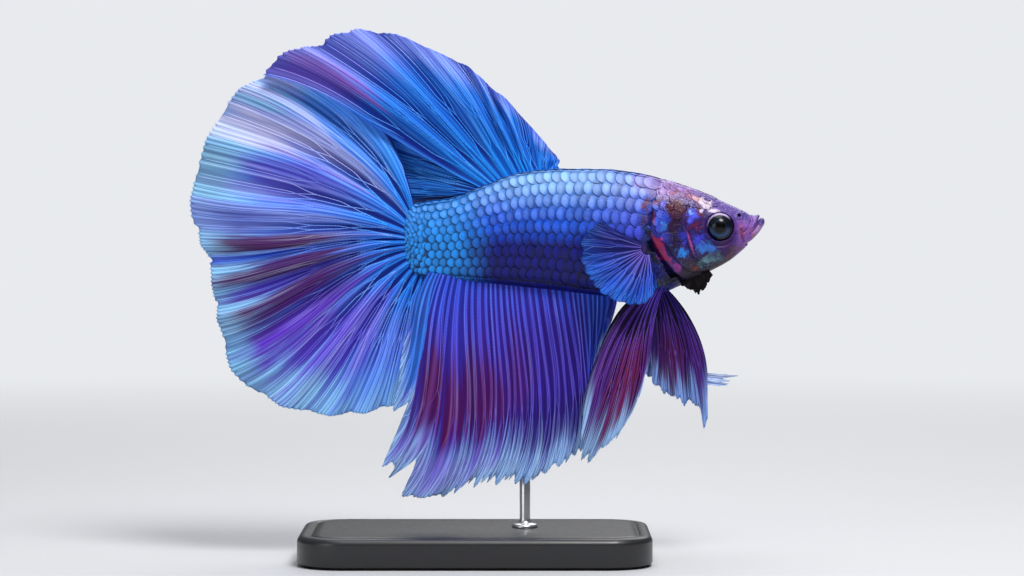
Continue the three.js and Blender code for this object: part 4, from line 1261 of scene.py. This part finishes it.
class Graph(Tree):
    """Builds a geometry node tree with named inputs."""

    def __init__(self, name, inputs):
        self.tree = bpy.data.node_groups.new(name, "GeometryNodeTree")
        face = self.tree.interface
        face.new_socket("Geometry", in_out="OUTPUT", socket_type="NodeSocketGeometry")
        self.ids = {
            label: face.new_socket(label, in_out="INPUT", socket_type=f"NodeSocket{kind}").identifier
            for label, kind in {"Geometry": "Geometry", **inputs, "Finish": "Material"}.items()
        }
        self.entry = self.tree.nodes.new("NodeGroupInput")

    def given(self, label):
        return Value(self, self.entry.outputs[label])

    def named(self, name, kind="FLOAT"):
        return self.node("GeometryNodeInputNamedAttribute", {"data_type": kind}, {"Name": name})

    def close(self, geometry):
        """Ends the tree with real geometry in the finish given."""
        real = self.node("GeometryNodeRealizeInstances", None, {"Geometry": geometry})
        done = {"Geometry": real, "Material": self.given("Finish")}
        end = self.tree.nodes.new("NodeGroupOutput").inputs[0]
        self.feed(end, self.node("GeometryNodeSetMaterial", None, done))
        return self

    def apply(self, source, name, values):
        """Runs the tree on an object and gives the result as a plain mesh object."""
        modifier = source.modifiers.new("grow", "NODES")
        modifier.node_group = self.tree
        for label, value in values.items():
            modifier[self.ids[label]] = value
        bpy.context.view_layer.update()
        evaluated = source.evaluated_get(bpy.context.evaluated_depsgraph_get())
        mesh = bpy.data.meshes.new_from_object(evaluated)
        bpy.data.objects.remove(source)
        return show(name, mesh)


def ray_graph():
    graph = Graph("fin rays", {"Sides": "Int"})
    lines = graph.node("GeometryNodeMeshToCurve", None, {"Mesh": graph.given("Geometry")})
    outline = {"Resolution": graph.given("Sides"), "Radius": 1.0}
    tube = {
        "Curve": lines,
        "Profile Curve": graph.node("GeometryNodeCurvePrimitiveCircle", None, outline),
        "Scale": graph.named("radius"),
        "Fill Caps": True,
    }
    tubes = graph.node("GeometryNodeCurveToMesh", None, tube)
    # each tube is stretched across the web, so that it stands out evenly on both of its faces
    y = graph.parts(graph.node("GeometryNodeInputPosition"))[1]
    shift = graph.vector(y=(y - graph.named("middle")) * graph.named("proud"))
    stretched = graph.node("GeometryNodeSetPosition", None, {"Geometry": tubes, "Offset": shift})
    return graph.close(graph.node("GeometryNodeSetShadeSmooth", None, {"Geometry": stretched}))


def build_all_fins():
    graph = ray_graph()
    fins = [gill_frill(*side) for side in BOTH_SIDES]
    fins += [caudal_fin(), dorsal_fin(), dorsal_rear(), anal_fin(), *pelvic_fins()]
    fins += [pectoral_fin(*side) for side in BOTH_SIDES]
    for fin in fins:
        slot = "gill_frill" if "frill" in fin.name else "fin_web"
        points, faces, q, v, sheet = web_mesh(fin)
        web = make_object(f"{fin.name}_web", points, faces.tolist())
        for name, values in (("across", q), ("along", v), ("sheet", sheet)):
            store(web, name, values)
        hand_over(web, fin_finish(fin, False), slot, fin.node)
        lines = ray_lines(fin)
        points, q, v, radius, proud = (np.concatenate(part) for part in zip(*lines))
        ends = np.cumsum([len(line[0]) for line in lines])
        edges = np.setdiff1d(np.arange(len(points) - 1), ends - 1)
        source = make_object("ray lines", points, edges=np.column_stack([edges, edges + 1]).tolist())
        kept = {"across": q, "along": v, "radius": radius * MM, "proud": proud, "middle": points[:, 1] * MM}
        for name, values in kept.items():
            store(source, name, values)
        finish = fin_finish(fin, True)
        rays = graph.apply(source, f"{fin.name}_rays", {"Sides": sizes().ray_sides, "Finish": finish})
        hand_over(rays, finish, slot)


# ---------------------------------------------------------------- scales
CHART_START = -14.0  # where along the fish the chart of scales begins
CHART_MARGIN, CHART_GAP = 0.03, 0.02  # round the chart, and from its middle line to each side
PATCH = 0.0015  # half the size of a scale's own patch on the chart
SCALE_SIDES = 14
SCALE_RINGS = (0.5, 0.86, 1.0)
GIRTH_POINTS = 241  # of an outline of the body from belly to back
STATIONS = 900  # along a field of scales, where its spacing is worked out


def side_ring(x, side):
    """The body's outline under the scales from belly to back, with the length of girth at each point."""
    turn = np.linspace(-TURN / 4, TURN / 4, GIRTH_POINTS)[None, :]
    x = np.asarray(x, float)[:, None]
    top, bottom = back_line(x) - SCALE_BED, belly_line(x) + SCALE_BED
    middle = mix(bottom, top, WIDEST_AT)
    power = 2 / np.where(turn > 0, UPPER_ROUNDNESS, lower_roundness(x))
    y = side * (half_width(x) - SCALE_BED) * np.cos(turn).clip(0) ** power
    z = middle + np.where(turn > 0, top - middle, bottom - middle) * np.abs(np.sin(turn)) ** power
    steps = np.hypot(np.diff(y, axis=1, prepend=y[:, :1]), np.diff(z, axis=1, prepend=z[:, :1]))
    return y, z, np.cumsum(steps, axis=1)


def side_point(x, share, side):
    """Points at a share of the girth, 0 at the belly and 1 at the back."""
    y, z, length = side_ring(x, side)
    want = share * length[:, -1]
    at_y, at_z = ([np.interp(w, l, v) for w, l, v in zip(want, length, axis)] for axis in (y, z))
    return np.column_stack([x, at_y, at_z])


def scale_places(side, rows, start, stop, low, high, aspect, ease=1.0):
    """Where scales are rooted from x start back to x stop, in rows between two shares of the girth."""
    x = np.linspace(start, stop, STATIONS)
    between = side_ring(x, side)[2][:, -1] * (high - low) / rows
    along = between * aspect + 0 * x
    count = np.concatenate([[0], np.cumsum(-np.diff(x) / along[:-1])])
    places = []
    for row in range(rows):
        at = np.interp(np.arange(0.1 + 0.5 * (row % 2), count[-1], 1.0), count, x)
        share = low + (high - low) * (row + 0.5) / rows
        pitch = np.interp(-at, -x, along), np.interp(-at, -x, between)
        places.append(np.column_stack([at, np.full(len(at), share), *pitch, np.full(len(at), ease)]))
    return np.concatenate(places)


def coat_places(side, rows):
    """The fields of scales: each one's x, share of the girth, lengths along and across, and ease."""
    flank_start = 28.0
    x = np.linspace(flank_start, STALK_START, STATIONS)
    flank_aspect = mix(0.98, 0.68, smooth(-4.0, 7.0, x)) - 0.06 * smooth(20, 26, x)
    flank, tail_root, last, strip, head, breast = (
        scale_places(side, *field)
        for field in (
            (rows, flank_start, STALK_START, 0.098, 1.03, flank_aspect),
            (12, STALK_START, -7.6, 0.06, 1.02, 0.9, 0.8),
            (16, -7.5, TAIL_END + 0.3, 0.03, 1.0, 0.95, 0.6),
            (3, 19.5, STALK_START, 0.0, 0.085, 1.1, 0.6),
            (18, 31.0, 22.0, 0.0, 1.03, 0.9, 0.3),
            (26, 29.0, 21.4, 0.0, 1.0, 1.0, 0.4),
        )
    )
    head = head[(head[:, 0] > cover_edge(head) + 0.1) & on_cover(head, side)]
    breast = breast[(breast[:, 0] > cover_edge(breast) - 0.4) & on_breast(breast, side)]
    flank = flank[flank[:, 0] < cover_edge(flank)]
    places = np.concatenate([flank, tail_root, last, strip, head, breast])
    stray = np.random.default_rng(31 + side).uniform(-1, 1, (len(places), 2)).T
    amount = np.where(places[:, 0] < STALK_START, 0.22, np.where(places[:, 4] < 1, 0.08, 0.06))
    places[:, 0] += stray[0] * amount * places[:, 2]
    places[:, 1] += stray[1] * amount * 0.06
    places[:, 4] *= 1 - 0.5 * smooth(0.9, 0.97, places[:, 1])
    return places


def cover_edge(places):
    """How far forward the flank's large scales reach, by share of the girth."""
    return 22.3 + 2.2 * smooth(0.72, 0.98, places[:, 1])


def on_cover(places, side):
    """Which of the head's small scales lie on the gill cover or the nape."""
    x, _, z = side_point(*places.T[:2], side).T
    clear = np.hypot(x - EYE[0], z - EYE[1]) > 2.9
    cover = (z > 41.8) & (x > 23.9) & (x < 26.6 + 0.3 * np.abs(z - 44.5))
    nape = (z > 46.4 - 0.2 * (x - 26.0)) & (x < 31.0)
    return (cover | nape) & clear


def on_breast(places, side):
    """Which of the small scales lie on the breast, behind and below the gill opening."""
    x, _, z = side_point(*places.T[:2], side).T
    edge, _, turned = near_line(x, z, GILL_EDGE)
    return (edge * turned < -0.75) & (z < 40.0)


def scale_shape():
    """One scale: a thin domed disc, 1 to each side, its free edge toward -X."""
    circles = [ring(0, 0, 0, radius, SCALE_SIDES) for radius in SCALE_RINGS]
    a, b, _ = np.concatenate([[(0, 0, 0)], *circles]).T
    top = np.column_stack([a, b, 0.12 * (1 - b * b) - 0.06 * a * a])
    points = np.concatenate([top, top[-SCALE_SIDES:] * (0.97, 0.97, 1) - (0, 0, 0.05)])
    number = 1 + np.arange(len(points) - 1).reshape(-1, SCALE_SIDES)
    after = np.roll(number, -1, axis=1)
    quads = np.stack([number[:-1], number[1:], after[1:], after[:-1]], axis=-1).reshape(-1, 4)
    middle = np.column_stack([0 * number[0], number[0], after[0]])
    faces = middle.tolist() + quads.tolist() + [number[-1, ::-1].tolist()]
    shape = make_object("scale shape", points / MM, faces)
    store(shape, "lengthways", points[:, 0])
    store(shape, "crossways", points[:, 1])
    return shape


def scale_graph():
    graph = Graph("scale coat", {"Shape": "Object", "Uneven": "Float", "Seed": "Int"})
    uneven = graph.given("Uneven")
    reach = {"Min": uneven * -1.0, "Max": uneven, "Seed": graph.given("Seed")}
    stray = graph.node("FunctionNodeRandomValue", {"data_type": "FLOAT_VECTOR"}, reach)
    turns = {"Rotation": graph.named("turn", "QUATERNION"), "Rotate By": stray}
    coat = {
        "Points": graph.given("Geometry"),
        "Instance": graph.node("GeometryNodeObjectInfo", None, {"Object": graph.given("Shape")}, "Geometry"),
        "Rotation": graph.node("FunctionNodeRotateRotation", {"rotation_space": "LOCAL"}, turns),
        "Scale": graph.named("span", "FLOAT_VECTOR"),
    }
    return graph.close(graph.node("GeometryNodeInstanceOnPoints", None, coat))


def unit(vectors):
    return vectors / np.linalg.norm(vectors, axis=1)[:, None]


def build_scales():
    graph, finish = scale_graph(), scale_finish()
    for side, name in BOTH_SIDES:
        x, share, along, between, ease = coat_places(side, sizes().scale_rows).T
        points = settle(side_point(x, share, side), skin_distance, 12)
        normal = unit(slope_of(lambda *at: body_distance(*at, SCALE_BED), points, 0.05))
        ahead = side_point(x + 0.3, share, side) - side_point(x - 0.3, share, side)
        ahead = unit(ahead - (ahead * normal).sum(1)[:, None] * normal)
        rise = sizes().scale_lift / MM * ease * np.clip(along / 1.1, 0.4, 1.0)
        tilt = np.arctan(rise / (2.0 * along))[:, None]
        front = ahead * np.cos(tilt) - normal * np.sin(tilt)
        up = normal * np.cos(tilt) + ahead * np.sin(tilt)
        sides = zip(front, np.cross(up, front), up)
        roots = make_object("scale roots", points + normal * (0.02 + 0.35 * rise)[:, None])
        turns = [tuple(Matrix(np.column_stack(m)).to_quaternion()) for m in sides]
        store(roots, "turn", turns, "QUATERNION")
        span = np.column_stack([along * 1.12, between * 0.68, between * 0.9 * ease]) * MM
        store(roots, "span", span, "FLOAT_VECTOR")
        store(roots, "root_u", (x - CHART_START) / (LIP_END - CHART_START))
        store(roots, "root_v", share)
        # How strongly each scale's dark rim and painted shade show: weaker on the nape, and faint on the
        # head's small scales.
        fading = 1 - 0.65 * smooth(20.5, 24.0, x) * smooth(45.0, 48.0, points[:, 2])
        store(roots, "bold", np.where((ease < 0.45) & (x > 21.0), 0.3, fading))
        store(roots, "tone", np.random.default_rng(5 + side).uniform(0, 1, len(x)))
        shape = scale_shape()
        values = {"Shape": shape, "Uneven": 0.04, "Seed": 4, "Finish": finish}
        coat = graph.apply(roots, f"scales_{name}", values)
        bpy.data.objects.remove(shape)
        bake_chart(coat.data, side)
        hand_over(coat, finish, "scales")


def bake_chart(mesh, side):
    """A UV map where each scale is a small patch at its root's place on the unrolled side."""

    def read(name):
        values = np.empty(len(mesh.vertices), np.float32)
        mesh.attributes[name].data.foreach_get("value", values)
        return values

    corner = np.empty(len(mesh.loops), np.int32)
    mesh.loops.foreach_get("vertex_index", corner)
    u = mix(CHART_MARGIN, 1 - CHART_MARGIN, read("root_u")) + PATCH * read("lengthways")
    v = 0.5 + side * mix(CHART_GAP, 0.5 - CHART_MARGIN, read("root_v")) + PATCH * read("crossways")
    chart = mesh.uv_layers.new(name="OFBake")
    chart.data.foreach_set("uv", np.column_stack([u, v])[corner].ravel())


# ---------------------------------------------------------------- stand and stage
CORNER_POINTS, BEVEL_POINTS, ROD_SIDES, FLOOR_SIDES = 17, 9, 40, 72
# radius and height of the turned collar at the rod's foot
COLLAR = ((1.7, 3.9), (1.7, 4.25), (1.62, 4.42), (1.45, 4.5), (1.0, 4.56), (0.86, 4.68), (0.76, 4.9))
COLLAR_TOP = 5.3


def base_ring(inset, z):
    """A rounded rectangle of the plinth's size, counterclockwise from above."""
    low, high = (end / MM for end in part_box("stand_base"))
    corner = bpy.context.scene.stand_settings.corner / MM
    quarters = []
    for k, (sx, sy) in enumerate(((1, 1), (-1, 1), (-1, -1), (1, -1))):
        hub = (sx * ((high.x - low.x) / 2 - corner), sy * ((high.y - low.y) / 2 - corner))
        x, y = around(hub, corner - inset, 90 * k + np.linspace(0, 90, CORNER_POINTS))
        quarters.append(np.column_stack([x, y, np.full(CORNER_POINTS, z)]))
    return np.concatenate(quarters)


def build_stand():
    """The plinth, its foot drawn in and a groove round its top, and the rod with a turned collar."""
    settings = bpy.context.scene.stand_settings
    top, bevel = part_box("stand_base")[1].z / MM, settings.bevel / MM
    profile = [(0.55, 0.0), (0.5, 0.3), (0.08, 0.42), (0.0, 0.55), (0.0, top - bevel - 0.02)]
    for angle in np.linspace(0, math.pi / 2, BEVEL_POINTS):
        profile.append((bevel * (1 - math.cos(angle)), top - bevel + bevel * math.sin(angle)))
    profile += [(1.6, top), (1.68, top - 0.12), (1.92, top - 0.12), (2.0, top), (3.0, top)]
    plinth = loft("plinth", [base_ring(inset, z) for inset, z in profile])
    finish = Finish("satin_black", tuple(settings.plinth))
    where = finish.place()[3]
    satin = finish.surface(
        Roughness=where.noise(1.2, 4.0, 0.6) * 0.2 + 0.3, Coat_Weight=0.15,
        Normal=finish.bump(where.noise(9.0, 3.0), 0.01, 0.4),
    )
    hand_over(plinth, satin, "stand_black", "stand_base")
    low, high = (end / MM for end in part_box("stand_rod"))
    x, y, _ = (low + high) / 2
    profile = [*COLLAR, *(((high.x - low.x) / 2, z) for z in (COLLAR_TOP, high.z))]
    post = loft("post", [ring(x, y, z, radius, ROD_SIDES) for radius, z in profile])
    finish = Finish("brushed_steel", tuple(settings.rod))
    brushed = finish.vector(finish.place()[2] * 26.0).noise(1.0, 2.0, flat=True)
    steel = finish.surface(Metallic=1.0, Roughness=brushed * 0.15 + 0.22)
    hand_over(post, steel, "stand_steel", "stand_rod")


def aimed(name, data, place, target):
    """Puts a lamp or camera at a place, turned to a target."""
    thing = show(name, data)
    thing.location = place
    thing.rotation_euler = (target - Vector(place)).to_track_quat("-Z", "Y").to_euler()
    return thing


def build_floor(settings):
    """A round floor that curves up far from the model, where it glows evenly for the camera alone."""
    sweep = np.linspace(0, math.pi / 2, 13)
    radius = [0.5, 60.0, 200.0, 600.0, *(1200 + 500 * np.sin(sweep)), 1700.0]
    rise = [0.0] * 4 + [*(500 - 500 * np.cos(sweep)), 900.0]
    rings = [ring(0, 0, z, out, FLOOR_SIDES)[::-1] for out, z in zip(radius, rise)]
    floor = loft("floor", rings, caps=False)
    finish = Finish("stage_floor", tuple(settings.floor))
    x, y, _, _ = finish.place()
    away = finish.math("SQRT", x * x + y * y)
    material = finish.surface(Roughness=0.8)
    glow = finish.node("ShaderNodeEmission", None, {"Color": tuple(settings.backdrop), "Strength": 1.0})
    far = away.between(110.0, 420.0) * finish.node("ShaderNodeLightPath", output="Is Camera Ray")
    both = finish.node("ShaderNodeMixShader", None, {0: far, 1: finish.shader, 2: glow})
    finish.feed(finish.output.inputs["Surface"], both)
    floor.data.materials.append(material)


FISH_MIDDLE = Vector((0.0, 0.0, 0.038))  # where the lamps point, in metres
VIEW_MIDDLE = Vector((0.0048, 0.0, 0.0356))  # and the camera
LAMPS = (  # name, place and width in metres, power in watts
    ("key", (0.12, -0.26, 0.42), 0.2, 2.3), ("top", (0.0, 0.06, 0.45), 0.34, 1.1),
    ("fill", (-0.34, -0.38, 0.12), 0.3, 0.45), ("back", (0.05, 0.30, 0.26), 0.3, 0.5),
)


def build_stage():
    settings, scene = bpy.context.scene.stage_settings, bpy.context.scene
    build_floor(settings)
    scene.world = bpy.data.worlds.new("stage_air")
    scene.world.use_nodes = True
    air = scene.world.node_tree.nodes["Background"].inputs
    air["Color"].default_value = (0.93, 0.95, 1.0, 1.0)
    air["Strength"].default_value = 0.25
    for name, place, width, power in LAMPS:
        lamp = bpy.data.lights.new(name, "AREA")
        lamp.shape = "DISK"
        lamp.size = width
        lamp.energy = power * settings.power
        aimed(name, lamp, place, FISH_MIDDLE)
    camera = bpy.data.cameras.new("camera")
    camera.lens = 120
    camera.sensor_width = 36
    tilt, reach = settings.view_tilt, settings.view_width * camera.lens / camera.sensor_width
    place = VIEW_MIDDLE + Vector((0, -math.cos(tilt), math.sin(tilt))) * reach
    scene.camera = aimed("camera", camera, place, VIEW_MIDDLE)
    scene.view_settings.view_transform = "Standard"


# ---------------------------------------------------------------- add-on
class BETTA_OT_skin(bpy.types.Operator):
    """Make the one skin of the head, gill covers, jaw, trunk and tail stalk"""

    bl_idname = "betta.skin"
    bl_label = "Skin"

    def execute(self, context):
        build_skin()
        return {"FINISHED"}


class BETTA_OT_eyes(bpy.types.Operator):
    """Make the two eyes, set in the skin's sockets"""

    bl_idname = "betta.eyes"
    bl_label = "Eyes"

    def execute(self, context):
        build_eyes()
        return {"FINISHED"}


class BETTA_OT_fins(bpy.types.Operator):
    """Make the web and the rays of every fin and of the frill under the gills"""

    bl_idname = "betta.fins"
    bl_label = "Fins"

    def execute(self, context):
        build_all_fins()
        return {"FINISHED"}


class BETTA_OT_scales(bpy.types.Operator):
    """Make the coat of scales on each side of the fish"""

    bl_idname = "betta.scales"
    bl_label = "Scales"

    def execute(self, context):
        build_scales()
        return {"FINISHED"}


class BETTA_OT_stand(bpy.types.Operator):
    """Make the display stand's plinth and rod"""

    bl_idname = "betta.stand"
    bl_label = "Stand"

    def execute(self, context):
        build_stand()
        return {"FINISHED"}


class BETTA_OT_stage(bpy.types.Operator):
    """Make the floor, the lamps and the camera"""

    bl_idname = "betta.stage"
    bl_label = "Stage"

    def execute(self, context):
        build_stage()
        return {"FINISHED"}


OPERATORS = (BETTA_OT_skin, BETTA_OT_eyes, BETTA_OT_fins, BETTA_OT_scales, BETTA_OT_stand, BETTA_OT_stage)
SETTINGS = {
    "fish_sizes": FishSizes,
    "fish_colours": FishColours,
    "fin_colours": FinColours,
    "stand_settings": StandSettings,
    "stage_settings": StageSettings,
}


class BETTA_PT_panel(bpy.types.Panel):
    """The steps that build the fish, with the sizes and colours they read"""

    bl_idname = "BETTA_PT_panel"
    bl_label = "Betta fish"
    bl_space_type = "VIEW_3D"
    bl_region_type = "UI"
    bl_category = "Betta"

    def draw(self, context):
        for operator in OPERATORS:
            self.layout.operator(operator.bl_idname)
        for name, group in SETTINGS.items():
            box = self.layout.box()
            box.label(text=name.replace("_", " ").capitalize())
            for prop in group.__annotations__:
                box.prop(getattr(context.scene, name), prop)


def register():
    for group in (*SETTINGS.values(), *OPERATORS, BETTA_PT_panel):
        bpy.utils.register_class(group)
    for name, group in SETTINGS.items():
        setattr(bpy.types.Scene, name, bpy.props.PointerProperty(type=group))


def unregister():
    for name in SETTINGS:
        delattr(bpy.types.Scene, name)
    for group in reversed((*SETTINGS.values(), *OPERATORS, BETTA_PT_panel)):
        bpy.utils.unregister_class(group)


def main():
    register()
    bpy.ops.betta.skin()
    bpy.ops.betta.eyes()
    bpy.ops.betta.fins()
    bpy.ops.betta.scales()
    bpy.ops.betta.stand()
    bpy.ops.betta.stage()
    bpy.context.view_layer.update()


if __name__ == "__main__":
    main()
